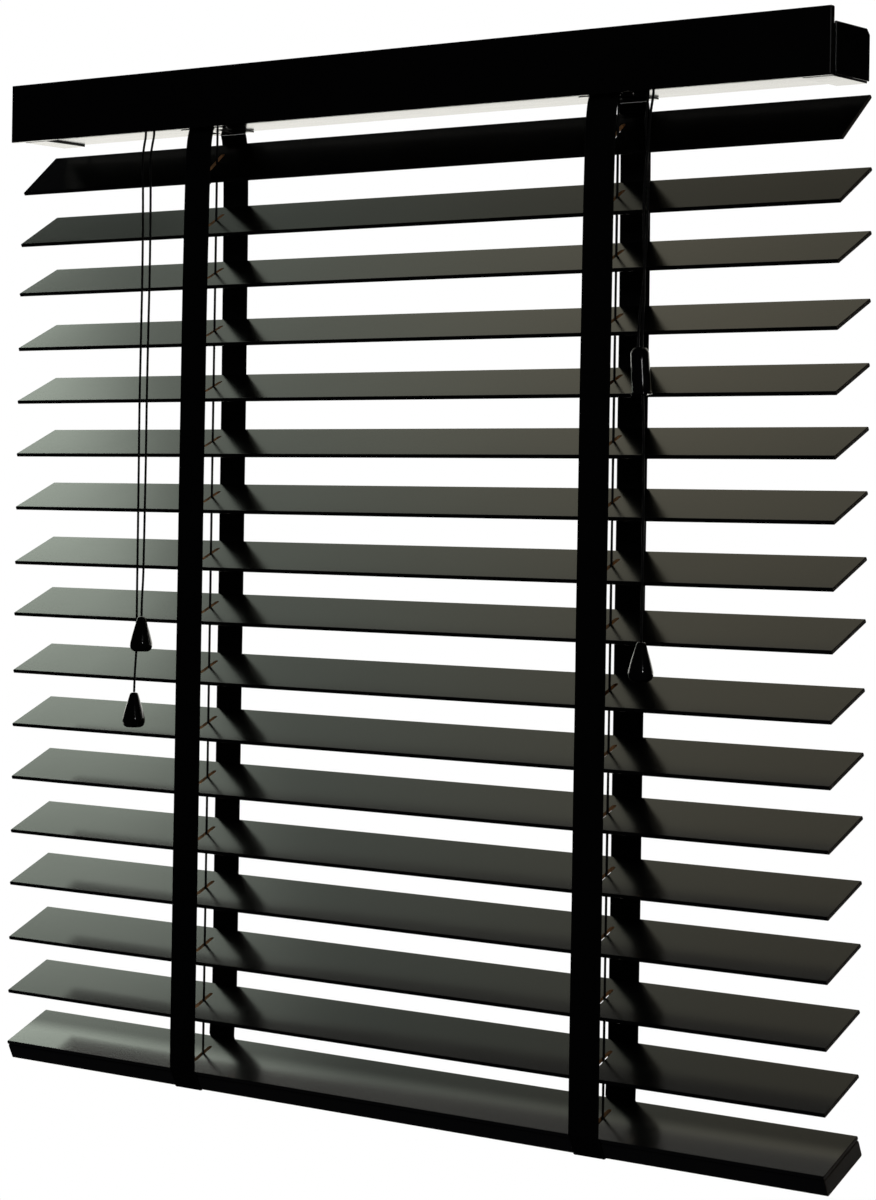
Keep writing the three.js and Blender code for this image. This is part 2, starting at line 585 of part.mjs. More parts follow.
// One face of the tape's loop: over the drum, down the front, under the bottom rail and up the back.
// offset is that face's distance outside the loop's inner face.
function tapeLoop(offset) {
  const points = [];
  const radius = DRUM_RADIUS + FIT + offset;
  const arcSteps = 10;
  for (let k = 0; k <= arcSteps; k += 1) {
    const turn = (k / arcSteps) * Math.PI;
    points.push([radius * Math.cos(turn), -ROD_DROP + radius * Math.sin(turn)]);
  }
  const side = (z) => tapeDistance(z) - TAPE_THICKNESS / 2 + offset;
  const slotSide = TAPE_AT_CRADLE - TAPE_THICKNESS / 2 + offset;
  const drops = [3, 7, 13, 22, 36, 60, 100, 170, 280].map((drop) => headrailBottom - drop);
  const half = SLAT_DEPTH / 2 + FIT + offset;
  const under = -railBottom - FIT - offset;
  points.push([-slotSide, floorTop + 1], [-slotSide, headrailBottom - 2]);
  points.push(...drops.map((z) => [-side(z), z]));
  points.push([-side(slatHeight(HUNG_SLATS)), slatHeight(HUNG_SLATS) - 20]);
  points.push(onRail([-half, SLAT_THICKNESS / 2]), onRail([-half, under]), onRail([half, under]));
  points.push([side(slatHeight(HUNG_SLATS)), slatHeight(HUNG_SLATS) + 12]);
  points.push(...drops.reverse().map((z) => [side(z), z]));
  points.push([slotSide, headrailBottom - 2], [slotSide, floorTop + 1]);
  return points;
}

function ladderTape(x) {
  const outer = carriedAlongX(tapeLoop(TAPE_THICKNESS), TAPE_WIDTH, x);
  const inner = carriedAlongX(tapeLoop(0), TAPE_WIDTH + 2, x);
  return cut(outer, inner);
}

for (const [name, x] of ladders) add(`ladder_tape_${name}`, ladderTape(x), blackTape);

// ---- lift cords inside the blind ----------------------------------------------------------------------------

// From its knot in the bottom rail, up through the slats and the cradle, and along the headrail to the lock.
function innerCord(x, y) {
  const knot = onRail([-4.9, -railBottom + 3.3]);
  const lockSide = LOCK_X - LOCK_LENGTH / 2 - FIT;
  const route = [[x, 0, knot[1]], [x, 0, cordRun], [x + 12, y, cordRun], [lockSide, y, cordRun]];
  const ball = new THREE.SphereGeometry(2.3, 12, 8).translate(x, 0, knot[1]);
  return joined(ball, ...strand(route, cordRadius));
}

add('lift_cord_inner_left', innerCord(-LADDER_SPREAD / 2, -2.4), blackCord);
add('lift_cord_inner_right', innerCord(LADDER_SPREAD / 2, 0.2), blackCord);

// ---- free cords and what hangs on them ------------------------------------------------------------------------

// A pear-shaped weight, from its rounded top down to a flat foot.
function tassel([x, y, z]) {
  const [h, r] = [TASSEL_HEIGHT, TASSEL_RADIUS];
  return turned([
    [0, -h], [0.66 * r, -h], [0.84 * r, -0.97 * h], [0.97 * r, -0.88 * h], [r, -0.8 * h], [0.95 * r, -0.7 * h],
    [0.46 * r, -0.1 * h], [0.38 * r, -0.03 * h], [0.24 * r, 0], [0, 0],
  ], 20).translate(x, y, z);
}

// The barrel that gathers the two pull cords: wide mouth at the top, small hole at the bottom.
function joiner() {
  const [length, radius, bore] = [JOINER_LENGTH, JOINER_RADIUS, JOINER_BORE];
  const hole = CORD_DIAMETER;
  const profile = [
    [bore, -4], [bore, -1], [radius - 2.6, 0], [radius - 0.3, -3.2], [radius, -length + 2.4],
    [radius + 0.7, -length + 1.4], [radius + 0.5, -length], [hole, -length], [hole, -length + 3],
    [bore, -length + 6], [bore, -4],
  ];
  return turned(profile.reverse(), 24).rotateY(-rad(JOINER_LEAN)).translate(...JOINER_TOP);
}

const below = (points) => {
  const [x, y, z] = points[points.length - 1];
  return [x, y, z - FIT];
};

add('tilt_cord_near', cordAlong(TILT_CORD_NEAR, 56), blackCord);
add('tilt_cord_far', cordAlong(TILT_CORD_FAR, 60), blackCord);
add('tilt_tassel_near', tassel(below(TILT_CORD_NEAR)), blackPlastic);
add('tilt_tassel_far', tassel(below(TILT_CORD_FAR)), blackPlastic);
add('lift_cord_left', cordAlong(LIFT_CORD_LEFT, 64), blackCord);
add('lift_cord_right', cordAlong(LIFT_CORD_RIGHT, 36), blackCord);
add('cord_joiner', joiner(), blackPlastic);
add('lift_tassel', tassel(below(LIFT_CORD_LEFT)), blackPlastic);

export default blind;
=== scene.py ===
"""A 50 mm wooden venetian blind with ladder tapes, cord tilt and cord lift, finished round its frame.

Metres, in the frame's own axes: X runs along the slats, +Y to the window and +Z up. The origin lies
midway between the two brackets, in the plane of their tops.
"""

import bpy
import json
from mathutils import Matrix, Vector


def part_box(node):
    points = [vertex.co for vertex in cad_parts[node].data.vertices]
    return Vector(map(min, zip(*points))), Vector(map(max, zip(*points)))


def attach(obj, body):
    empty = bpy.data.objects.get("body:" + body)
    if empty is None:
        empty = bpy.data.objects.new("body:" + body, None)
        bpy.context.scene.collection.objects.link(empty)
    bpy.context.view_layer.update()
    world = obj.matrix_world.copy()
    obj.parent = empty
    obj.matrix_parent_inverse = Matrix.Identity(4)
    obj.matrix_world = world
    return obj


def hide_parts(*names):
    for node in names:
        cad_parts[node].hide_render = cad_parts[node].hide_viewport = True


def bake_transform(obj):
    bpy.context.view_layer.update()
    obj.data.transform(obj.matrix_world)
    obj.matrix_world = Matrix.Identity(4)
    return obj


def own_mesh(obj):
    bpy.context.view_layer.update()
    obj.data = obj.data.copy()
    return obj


bl_info = {
    "name": "Ladder Tape Venetian Blind",
    "version": (1, 0, 0),
    "blender": (4, 5, 0),
    "location": "View3D > Sidebar > Blind",
    "description": "Builds the lacquered slats, woven tapes, cords and headrail of a wooden blind",
    "category": "Add Mesh",
}

import json
import math

import bmesh
import bpy
import numpy as np
from mathutils import Matrix, Vector

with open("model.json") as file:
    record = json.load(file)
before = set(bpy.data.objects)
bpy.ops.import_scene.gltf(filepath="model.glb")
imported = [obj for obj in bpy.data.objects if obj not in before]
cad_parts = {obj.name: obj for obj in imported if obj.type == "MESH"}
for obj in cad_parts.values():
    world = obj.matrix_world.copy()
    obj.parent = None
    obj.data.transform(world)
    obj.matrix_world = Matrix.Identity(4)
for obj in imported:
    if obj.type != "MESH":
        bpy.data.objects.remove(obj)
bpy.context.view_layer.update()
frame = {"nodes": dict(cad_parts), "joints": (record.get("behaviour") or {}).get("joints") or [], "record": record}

MM = 0.001
HUNG_SLATS = 16
LAST_SLAT = HUNG_SLATS + 1
SLAT_DEPTH = 50 * MM
SLAT_THICKNESS = 3 * MM
SLAT_WARP = math.radians(0.35)
RUNG_RADIUS = 0.4 * MM
RUNG_SAG = 0.1 * MM
FIT = 0.3 * MM
LADDERS = (("left", -193 * MM), ("right", 193 * MM))
TAPE_STAND_OFF = 24.5 * MM
TAPE_AT_CRADLE = 18.3 * MM
TAPE_LONG_DRAW = 2.6 * MM
TAPE_LONG_DROP = 90 * MM
TAPE_NEAR_DROP = 9 * MM
RAIL_THICKNESS = 13 * MM
DRUM_RADIUS = 10.8 * MM
ROD_DROP = 17.5 * MM
TILTER_X = -248 * MM
LIFT_TRAVEL = next(j for j in frame["joints"] if j["name"] == "bottom_rail_lift")["range_m"][1]
BODY_OF = {n: body for body, nodes in frame["record"]["behaviour"]["bodies"].items() for n in nodes}

# ---- free cords: the frame's own routes, in metres, from the headrail down -------------------------------

TILT_CORD_NEAR = np.array([
    [-243.5, -19.5, -33.2], [-243.4, -19.7, -38], [-242.6, -22.6, -47], [-240.8, -26.3, -58],
    [-239.2, -27.4, -72], [-238.2, -28, -100], [-238, -28, -145], [-238.6, -28, -200],
    [-239, -28, -250], [-239, -28, -300], [-239.3, -28, -340], [-239.2, -28.4, -370],
    [-238.2, -29.8, -392], [-236.2, -33, -411], [-234.6, -34.8, -422.4],
]) * MM
TILT_CORD_FAR = np.array([
    [-252.5, -19.5, -33.2], [-252.4, -19.7, -38], [-251.4, -22.6, -47], [-249.2, -26.3, -58],
    [-247.6, -27.4, -72], [-246.4, -28, -100], [-246, -28, -145], [-246.4, -28, -200],
    [-246.8, -28, -250], [-246.6, -28, -300], [-246.4, -28, -350], [-246.3, -28, -400],
    [-246, -28.1, -430], [-245, -29.2, -450], [-243.2, -32.4, -468.5], [-241.4, -34.8, -483],
]) * MM
LIFT_CORD_LEFT = np.array([
    [231.8, -19.6, -33.2], [231.9, -19.8, -38], [232.8, -22.6, -47], [234.6, -26.3, -58],
    [236.4, -27.4, -72], [238.2, -28.2, -92], [239.2, -28.9, -115], [238.9, -29.6, -140],
    [237.8, -30.6, -170], [235.8, -32, -195], [235.7, -33.2, -214], [236.9, -33.5, -226],
    [239.4, -33.5, -237], [240.4, -33.5, -252], [241.3, -33.5, -270], [242.2, -33.6, -320],
    [242.8, -34.2, -360], [243.2, -34.8, -400], [243.2, -34.8, -424],
]) * MM
LIFT_CORD_RIGHT = np.array([
    [236.2, -19.6, -33.2], [236.2, -19.8, -38], [236.8, -22.8, -47], [238, -26.6, -58],
    [238.8, -28.6, -72], [238.2, -30.7, -92], [237.4, -31.5, -115], [238.2, -32, -140],
    [239.4, -32.4, -170], [239.4, -33, -195], [239.2, -33.5, -214], [239.4, -33.5, -228],
]) * MM
JOINER_TOP = np.array([237.2, -33.5, -218]) * MM
JOINER_LEAN = math.radians(4)


# ---- what a user may change ------------------------------------------------------------------------------

def length(name, description, default):
    """A length property, in metres."""
    return bpy.props.FloatProperty(
        name=name, description=description, default=default, min=0.0, precision=5, unit="LENGTH"
    )


def tint(name, description, default):
    """A colour property, in linear red, green and blue."""
    return bpy.props.FloatVectorProperty(
        name=name, description=description, default=default, size=3, min=0.0, max=1.0, subtype="COLOR"
    )


class BlindSizes(bpy.types.PropertyGroup):
    """Sizes of the finer shapes that the frame leaves plain."""

    slat_ease: length("Slat edge", "Radius that eases a slat's long edges", 0.8 * MM)
    slot_length: length("Slot length", "Cord slot in a slat, along its depth", 22 * MM)
    slot_width: length("Slot width", "Cord slot in a slat, across", 3.4 * MM)
    slot_rim: length("Slot rim", "Bare bevel round a cord slot", 0.35 * MM)
    rail_ease: length("Rail edge", "Radius on the bottom rail's lower edges", 1.6 * MM)
    valance_ease: length("Valance edge", "Radius on the valance's edges", 0.7 * MM)
    tape_width: length("Tape width", "Width of a ladder tape", 26.4 * MM)
    tape_thickness: length("Tape thickness", "Thickness of a ladder tape", 0.6 * MM)
    selvedge: length("Selvedge", "Width of the thicker woven edge of a tape", 1.6 * MM)
    rung_offset: length("Rung offset", "Rungs' distance from the tape's middle", 8 * MM)
    cord_diameter: length("Cord", "Diameter of the pull cords and lift cords", 1.8 * MM)
    tassel_height: length("Tassel height", "Height of a tassel", 27.6 * MM)
    tassel_radius: length("Tassel radius", "Largest radius of a tassel", 9 * MM)
    joiner_length: length("Joiner length", "Length of the barrel that joins the lift cords", 33 * MM)
    joiner_radius: length("Joiner radius", "Radius of that barrel", 6.8 * MM)


class BlindColours(bpy.types.PropertyGroup):
    """Colours of the finishes."""

    lacquer: tint("Lacquer", "Black lacquer on slats, rail and valance", (0.0035, 0.0035, 0.0033))
    end_stain: tint("End grain", "Stained end grain where the lacquer is thin", (0.085, 0.062, 0.045))
    bare_wood: tint("Bare wood", "Wood inside the cord slots", (0.62, 0.36, 0.17))
    tape: tint("Tape", "Woven ladder tape", (0.0035, 0.0035, 0.0035))
    selvedge: tint("Selvedge", "Woven edge of the tape", (0.014, 0.014, 0.014))
    cord: tint("Cord", "Braided cord", (0.005, 0.005, 0.005))
    painted_steel: tint("Painted steel", "Headrail and brackets", (0.006, 0.006, 0.006))
    plastic: tint("Plastic", "Tassels, joiner, end covers, cradles and housings", (0.006, 0.006, 0.006))
    nylon: tint("Nylon", "Drums, worms and valance clips", (0.42, 0.43, 0.43))
    zinc: tint("Zinc", "Tilt rod and lock roller", (0.55, 0.56, 0.58))


# ---- shader sums -----------------------------------------------------------------------------------------

class Wire:
    """An output socket that can be used in sums. Each operator adds one Math node."""

    def __init__(self, shader, socket):
        self.shader = shader
        self.socket = socket

    def __add__(self, other):
        return self.shader.math("ADD", self, other)

    def __radd__(self, other):
        return self.shader.math("ADD", other, self)

    def __sub__(self, other):
        return self.shader.math("SUBTRACT", self, other)

    def __rsub__(self, other):
        return self.shader.math("SUBTRACT", other, self)

    def __mul__(self, other):
        return self.shader.math("MULTIPLY", self, other)

    def __rmul__(self, other):
        return self.shader.math("MULTIPLY", other, self)

    def __truediv__(self, other):
        return self.shader.math("DIVIDE", self, other)

    def __abs__(self):
        return self.shader.math("ABSOLUTE", self)

    def sine(self):
        return self.shader.math("SINE", self)

    def fraction(self):
        return self.shader.math("FRACT", self)

    def step(self, low, high):
        """0 below low, 1 above high, and a smooth rise between them."""
        return self.shader.node(
            "ShaderNodeMapRange", {"interpolation_type": "SMOOTHSTEP"},
            {"Value": self, "From Min": low, "From Max": high},
        )[0]


class Shader:
    """The node tree of a material or a world."""

    def __init__(self, tree):
        self.tree = tree
        tree.nodes.clear()

    def node(self, kind, settings=None, sockets=None):
        """Adds a node, sets its settings and then its sockets, by name or number; returns its outputs."""
        made = self.tree.nodes.new(kind)
        for key, value in (settings or {}).items():
            setattr(made, key, value)
        for key, value in (sockets or {}).items():
            target = made.inputs[key]
            if isinstance(value, Wire):
                self.tree.links.new(value.socket, target)
            else:
                target.default_value = value
        return [Wire(self, socket) for socket in made.outputs]

    def math(self, operation, *values):
        return self.node("ShaderNodeMath", {"operation": operation}, dict(enumerate(values)))[0]

    def mix(self, share, first, second):
        """Colour first where share is 0 and second where it is 1."""
        colours = [c if isinstance(c, Wire) else (*c, 1.0) for c in (first, second)]
        return self.node(
            "ShaderNodeMix", {"data_type": "RGBA"}, {0: share, 6: colours[0], 7: colours[1]}
        )[2]

    def places(self):
        """Object coordinates, as one vector and as x, y and z."""
        spot = self.node("ShaderNodeTexCoord")[3]
        return spot, *self.node("ShaderNodeSeparateXYZ", sockets={0: spot})

    def uv(self):
        """The piece's own u and v."""
        spot = self.node("ShaderNodeUVMap", {"uv_map": "UVMap"})[0]
        return self.node("ShaderNodeSeparateXYZ", sockets={0: spot})[:2]

    def stretched(self, spot, scale):
        """Coordinates multiplied by a scale for each axis."""
        return self.node("ShaderNodeVectorMath", {"operation": "MULTIPLY"}, {0: spot, 1: scale})[0]

    def noise(self, spot, scale, detail=2.0, roughness=0.5):
        return self.node(
            "ShaderNodeTexNoise", {},
            {"Vector": spot, "Scale": scale, "Detail": detail, "Roughness": roughness},
        )[0]

    def bump(self, height, distance, strength=1.0):
        return self.node(
            "ShaderNodeBump", {}, {"Height": height, "Distance": distance, "Strength": strength}
        )[0]

    def surface(self, sockets):
        """A Principled surface with these sockets, joined to the material's output."""
        shine = self.node("ShaderNodeBsdfPrincipled", {}, sockets)[0]
        self.node("ShaderNodeOutputMaterial", {}, {"Surface": shine})


def new_material(name):
    material = bpy.data.materials.get(name) or bpy.data.materials.new(name)
    material.use_nodes = True
    return material, Shader(material.node_tree)


def solid(colour):
    return (*colour, 1.0)


# ---- finishes --------------------------------------------------------------------------------------------

def lacquer_finish():
    """Black lacquer over wood: faint long pores and orange peel under a clear gloss. The bottom rail and
    the lower front half of the slat on it have one more coat of varnish."""
    material, s = new_material("black_lacquer")
    colours = bpy.context.scene.blind_colours
    spot, _, _, z = s.places()
    last_top = float(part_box(f"slat_{LAST_SLAT:02d}")[1][2])
    pores = s.noise(s.stretched(spot, (14.0, 700.0, 700.0)), 1.0, 3.0, 0.6)
    peel = s.noise(spot, 260.0, 1.0, 0.4)
    patches = s.noise(spot, 9.0, 2.0, 0.5)
    height = pores.step(0.62, 0.8) * -0.6 + peel * 0.25
    s.surface({
        "Base Color": s.mix(patches.step(0.35, 0.7), colours.lacquer, [1.7 * c for c in colours.lacquer]),
        "Roughness": 0.15 + patches * 0.08,
        "IOR": 1.5,
        "Coat Weight": 1 - z.step(last_top - 13 * MM, last_top - 5 * MM),
        "Coat Roughness": 0.16,
        "Coat IOR": 1.85,
        "Normal": s.bump(height, 0.00003, 0.6),
    })
    return material


def end_grain_finish():
    """Stained end grain: short dark fibres across a brown cut, rough from the saw."""
    material, s = new_material("stained_end_grain")
    colours = bpy.context.scene.blind_colours
    spot = s.places()[0]
    fibres = s.noise(s.stretched(spot, (300.0, 900.0, 2600.0)), 1.0, 3.0, 0.65)
    cuts = s.noise(s.stretched(spot, (200.0, 260.0, 5200.0)), 1.0, 1.0, 0.5)
    dark = [0.22 * c for c in colours.end_stain]
    s.surface({
        "Base Color": s.mix(fibres.step(0.36, 0.66), dark, colours.end_stain),
        "Roughness": 0.45 + fibres * 0.25,
        "IOR": 1.45,
        "Normal": s.bump(fibres + cuts * 0.7, 0.0002, 0.8),
    })
    return material


def bare_wood_finish():
    """Raw basswood inside a slot, with fine grain and a few dark flecks."""
    material, s = new_material("bare_wood")
    colours = bpy.context.scene.blind_colours
    spot = s.places()[0]
    grain = s.noise(s.stretched(spot, (120.0, 1500.0, 1500.0)), 1.0, 3.0, 0.6)
    shade = [0.45 * c for c in colours.bare_wood]
    s.surface({
        "Base Color": s.mix(grain.step(0.3, 0.6), shade, colours.bare_wood),
        "Roughness": 0.75,
        "Normal": s.bump(grain, 0.0001, 0.5),
    })
    return material


def tape_finish():
    """Herringbone tape: u is metres across and v metres along; ribs lean one way, then the other."""
    material, s = new_material("ladder_tape")
    colours = bpy.context.scene.blind_colours
    sizes = bpy.context.scene.blind_sizes
    u, v = s.uv()
    half = sizes.tape_width / 2
    from_middle = abs(u - half)
    chevron = abs((u / (4.2 * MM)).fraction() - 0.5) * (4.2 * MM)
    twill = ((chevron + v) * (2 * math.pi / (1.15 * MM))).sine() * 0.5 + 0.5
    threads = ((v - chevron * 0.3) * (2 * math.pi / (0.5 * MM))).sine() * 0.5 + 0.5
    edge = from_middle.step(half - sizes.selvedge, half - 0.7 * sizes.selvedge)
    loops = (v * (2 * math.pi / (0.9 * MM))).sine() * 0.5 + 0.5
    spot = s.places()[0]
    fuzz = s.noise(spot, 1800.0, 2.0, 0.6)
    lighter = [2.6 * c for c in colours.tape]
    cloth = s.mix((twill * fuzz).step(0.15, 0.6), colours.tape, lighter)
    s.surface({
        "Base Color": s.mix(edge * (0.35 + loops * 0.5), cloth, colours.selvedge),
        "Roughness": 0.78 + fuzz * 0.2,
        "Specular IOR Level": 0.25,
        "Sheen Weight": 0.05,
        "Sheen Roughness": 0.4,
        "Normal": s.bump(twill + threads * 0.3 + loops * edge * 0.8 + fuzz * 0.3, 0.00018, 0.9),
    })
    return material


def cord_finish():
    """Braided cord: u runs once round and v counts cord girths along; strands cross both ways."""
    material, s = new_material("braided_cord")
    colours = bpy.context.scene.blind_colours
    u, v = s.uv()
    right = ((u * 4 + v * 2.2) * (2 * math.pi)).sine()
    left = ((u * 4 - v * 2.2) * (2 * math.pi)).sine()
    braid = s.math("MAXIMUM", right, left) * 0.5 + 0.5
    fuzz = s.noise(s.places()[0], 2600.0, 2.0, 0.6)
    lighter = [3.2 * c for c in colours.cord]
    s.surface({
        "Base Color": s.mix((braid * fuzz).step(0.2, 0.65), colours.cord, lighter),
        "Roughness": 0.55 + fuzz * 0.2,
        "Specular IOR Level": 0.35,
        "Sheen Weight": 0.05,
        "Normal": s.bump(braid + fuzz * 0.3, 0.00012, 0.9),
    })
    return material


def painted_steel_finish():
    """Black stoved paint with faint orange peel and a little dust."""
    material, s = new_material("painted_steel")
    colours = bpy.context.scene.blind_colours
    spot = s.places()[0]
    peel = s.noise(spot, 700.0, 1.0, 0.5)
    dust = s.noise(s.stretched(spot, (30.0, 160.0, 160.0)), 1.0, 3.0, 0.6)
    dusty = [3.0 * c for c in colours.painted_steel]
    s.surface({
        "Base Color": s.mix(dust.step(0.4, 0.75), colours.painted_steel, dusty),
        "Roughness": 0.12 + dust * 0.08,
        "IOR": 1.55,
        "Normal": s.bump(peel, 0.00002, 0.3),
    })
    return material


def plastic_finish():
    """Polished black moulded plastic with fine scuffs."""
    material, s = new_material("gloss_plastic")
    colours = bpy.context.scene.blind_colours
    spot = s.places()[0]
    scuffs = s.noise(s.stretched(spot, (400.0, 400.0, 90.0)), 1.0, 3.0, 0.6)
    flow = s.noise(spot, 60.0, 1.0, 0.4)
    s.surface({
        "Base Color": s.mix(flow, colours.plastic, [1.6 * c for c in colours.plastic]),
        "Roughness": 0.1 + scuffs.step(0.5, 0.8) * 0.14,
        "IOR": 1.52,
        "Normal": s.bump(flow + scuffs * 0.1, 0.00005, 0.4),
    })
    return material


def nylon_finish():
    """Milky nylon, slightly see-through, with a satin moulded skin."""
    material, s = new_material("milky_nylon")
    colours = bpy.context.scene.blind_colours
    spot = s.places()[0]
    cloud = s.noise(spot, 120.0, 2.0, 0.5)
    s.surface({
        "Base Color": s.mix(cloud, colours.nylon, [0.8 * c for c in colours.nylon]),
        "Roughness": 0.28 + cloud * 0.15,
        "Transmission Weight": 0.25,
        "IOR": 1.53,
        "Normal": s.bump(cloud, 0.0001, 0.4),
    })
    return material


def zinc_finish():
    """Zinc-plated steel: drawn lines along the bar and a dull bloom."""
    material, s = new_material("zinc_plate")
    colours = bpy.context.scene.blind_colours
    spot = s.places()[0]
    drawn = s.noise(s.stretched(spot, (20.0, 1600.0, 1600.0)), 1.0, 2.0, 0.5)
    bloom = s.noise(spot, 70.0, 3.0, 0.6)
    s.surface({
        "Base Color": s.mix(bloom.step(0.35, 0.7), colours.zinc, [0.75 * c for c in colours.zinc]),
        "Metallic": 1.0,
        "Roughness": 0.26 + bloom * 0.2,
        "Normal": s.bump(drawn, 0.00005, 0.6),
    })
    return material


# ---- skins worked out on grids ---------------------------------------------------------------------------

class Skin:
    """Collects grids of points and flat lids, then welds them into one closed surface."""

    def __init__(self):
        self.points = []
        self.faces = []
        self.kinds = []
        self.uvs = []
        self.count = 0

    def _keep(self, points, faces, kind, uvs):
        self.points.append(points)
        self.faces.extend(faces)
        self.kinds.extend([kind] * len(faces))
        self.uvs.append(uvs)
        self.count += len(points)

    def grid(self, points, kind=0, ring=False, uv=None):
        """points is rows by columns by 3. ring joins the last column to the first.
        uv is rows by columns by 2, with one more column than points on a ring."""
        rows, columns = points.shape[:2]
        cells = columns if ring else columns - 1
        r, c = np.meshgrid(np.arange(rows - 1), np.arange(cells), indexing="ij")
        ahead = (c + 1) % columns
        quads = np.stack([r * columns + c, r * columns + ahead,
                          (r + 1) * columns + ahead, (r + 1) * columns + c], -1).reshape(-1, 4)
        if uv is None:
            uv = np.zeros((rows, cells + 1, 2))
        corner = np.stack([uv[r, c], uv[r, c + 1], uv[r + 1, c + 1], uv[r + 1, c]], 2).reshape(-1, 2)
        self._keep(points.reshape(-1, 3), (quads + self.count).tolist(), kind, corner)

    def lid(self, loop, kind=0):
        """One flat face over a closed loop of points."""
        face = list(range(self.count, self.count + len(loop)))
        self._keep(np.asarray(loop), [face], kind, np.zeros((len(loop), 2)))

    def mesh(self, name, materials, crease=35.0):
        """Welds the grids, turns every face outwards and keeps edges sharper than crease degrees."""
        mesh = bpy.data.meshes.new(name)
        mesh.from_pydata(np.concatenate(self.points), [], self.faces)
        mesh.polygons.foreach_set("material_index", self.kinds)
        layer = mesh.uv_layers.new(name="UVMap")
        layer.data.foreach_set("uv", np.concatenate(self.uvs).astype(np.float32).ravel())
        for material in materials:
            mesh.materials.append(material)
        work = bmesh.new()
        work.from_mesh(mesh)
        bmesh.ops.remove_doubles(work, verts=work.verts, dist=1e-7)
        bmesh.ops.recalc_face_normals(work, faces=work.faces)
        work.to_mesh(mesh)
        work.free()
        mesh.polygons.foreach_set("use_smooth", np.ones(len(mesh.polygons), bool))
        mesh.set_sharp_from_angle(angle=math.radians(crease))
        return mesh


def place(name, mesh, body=None, instead_of=()):
    """Puts a mesh in the scene, rides it on a body and lets it stand for CAD nodes."""
    piece = bpy.data.objects.new(name, mesh)
    bpy.context.scene.collection.objects.link(piece)
    if body:
        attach(piece, body)
    if instead_of:
        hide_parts(*instead_of)
    return piece


def refined(node, name, material, ease=0.3 * MM, steps=2):
    """A CAD node's own shape with its edges broken: merged, flat faces joined, then bevelled."""
    mesh = frame["nodes"][node].data.copy()
    mesh.materials.clear()
    mesh.materials.append(material)
    work = bmesh.new()
    work.from_mesh(mesh)
    bmesh.ops.remove_doubles(work, verts=work.verts, dist=1e-6)
    bmesh.ops.dissolve_limit(work, angle_limit=math.radians(1), verts=work.verts, edges=work.edges)
    work.to_mesh(mesh)
    work.free()
    mesh.polygons.foreach_set("use_smooth", np.ones(len(mesh.polygons), bool))
    mesh.set_sharp_from_angle(angle=math.radians(35))
    piece = place(name, mesh, BODY_OF[node], (node,))
    bevel = piece.modifiers.new("eased edges", "BEVEL")
    bevel.width = ease
    bevel.segments = steps
    bevel.limit_method = "ANGLE"
    bevel.angle_limit = math.radians(40)
    bevel.harden_normals = True
    return piece


def eased_section(corners, radius, steps=5, support=0.5 * MM):
    """A closed outline with every corner rounded: each corner c becomes the curve
    (1-t)^2 a + 2t(1-t) c + t^2 b between the points a and b that lie one radius away from it,
    with one more point beyond each of them to keep the flats flat."""
    c = np.asarray(corners, float)
    back = np.roll(c, 1, 0) - c
    ahead = np.roll(c, -1, 0) - c
    back /= np.linalg.norm(back, axis=1, keepdims=True)
    ahead /= np.linalg.norm(ahead, axis=1, keepdims=True)
    t = np.linspace(0, 1, steps)[None, :, None]
    a, b, c = (c + radius * back)[:, None], (c + radius * ahead)[:, None], c[:, None]
    curve = (1 - t) ** 2 * a + 2 * t * (1 - t) * c + t ** 2 * b
    before = c + (radius + support) * back[:, None]
    after = c + (radius + support) * ahead[:, None]
    return np.concatenate([before, curve, after], 1).reshape(-1, 2)


def board(section, x0, x1, ease, step=15 * MM):
    """A section of [y, z] points carried along X, drawn in by ease at each end to break its ends' edges.
    Returns the skin's rows of points."""
    middle = (section.min(0) + section.max(0)) / 2
    share = 1 - 2 * ease / np.ptp(section, axis=0)
    count = max(2, int(round((x1 - x0) / step)))
    x = np.concatenate([[x0, x0 + ease, x0 + 1.5 * ease + MM],
                        np.linspace(x0 + 5 * MM, x1 - 5 * MM, count),
                        [x1 - 1.5 * ease - MM, x1 - ease, x1]])
    rows = np.broadcast_to(section, (len(x), *section.shape)).copy()
    rows[[0, -1]] = middle + (section - middle) * share
    return np.concatenate([np.broadcast_to(x[:, None, None], (*rows.shape[:2], 1)), rows], 2)


def turned(profile, sides=48):
    """A profile of [radius, height] points turned about Z: (r cos a, r sin a, h)."""
    a = np.linspace(0, 2 * np.pi, sides, endpoint=False)
    r, h = profile[:, :1], profile[:, 1:]
    return np.stack([r * np.cos(a), r * np.sin(a), np.broadcast_to(h, (len(profile), sides))], 2)


def rounded_profile(points, per_span=6):
    """A smooth curve through [radius, height] points."""
    return smooth_route(np.column_stack([points, np.zeros(len(points))]), per_span)[:, :2]


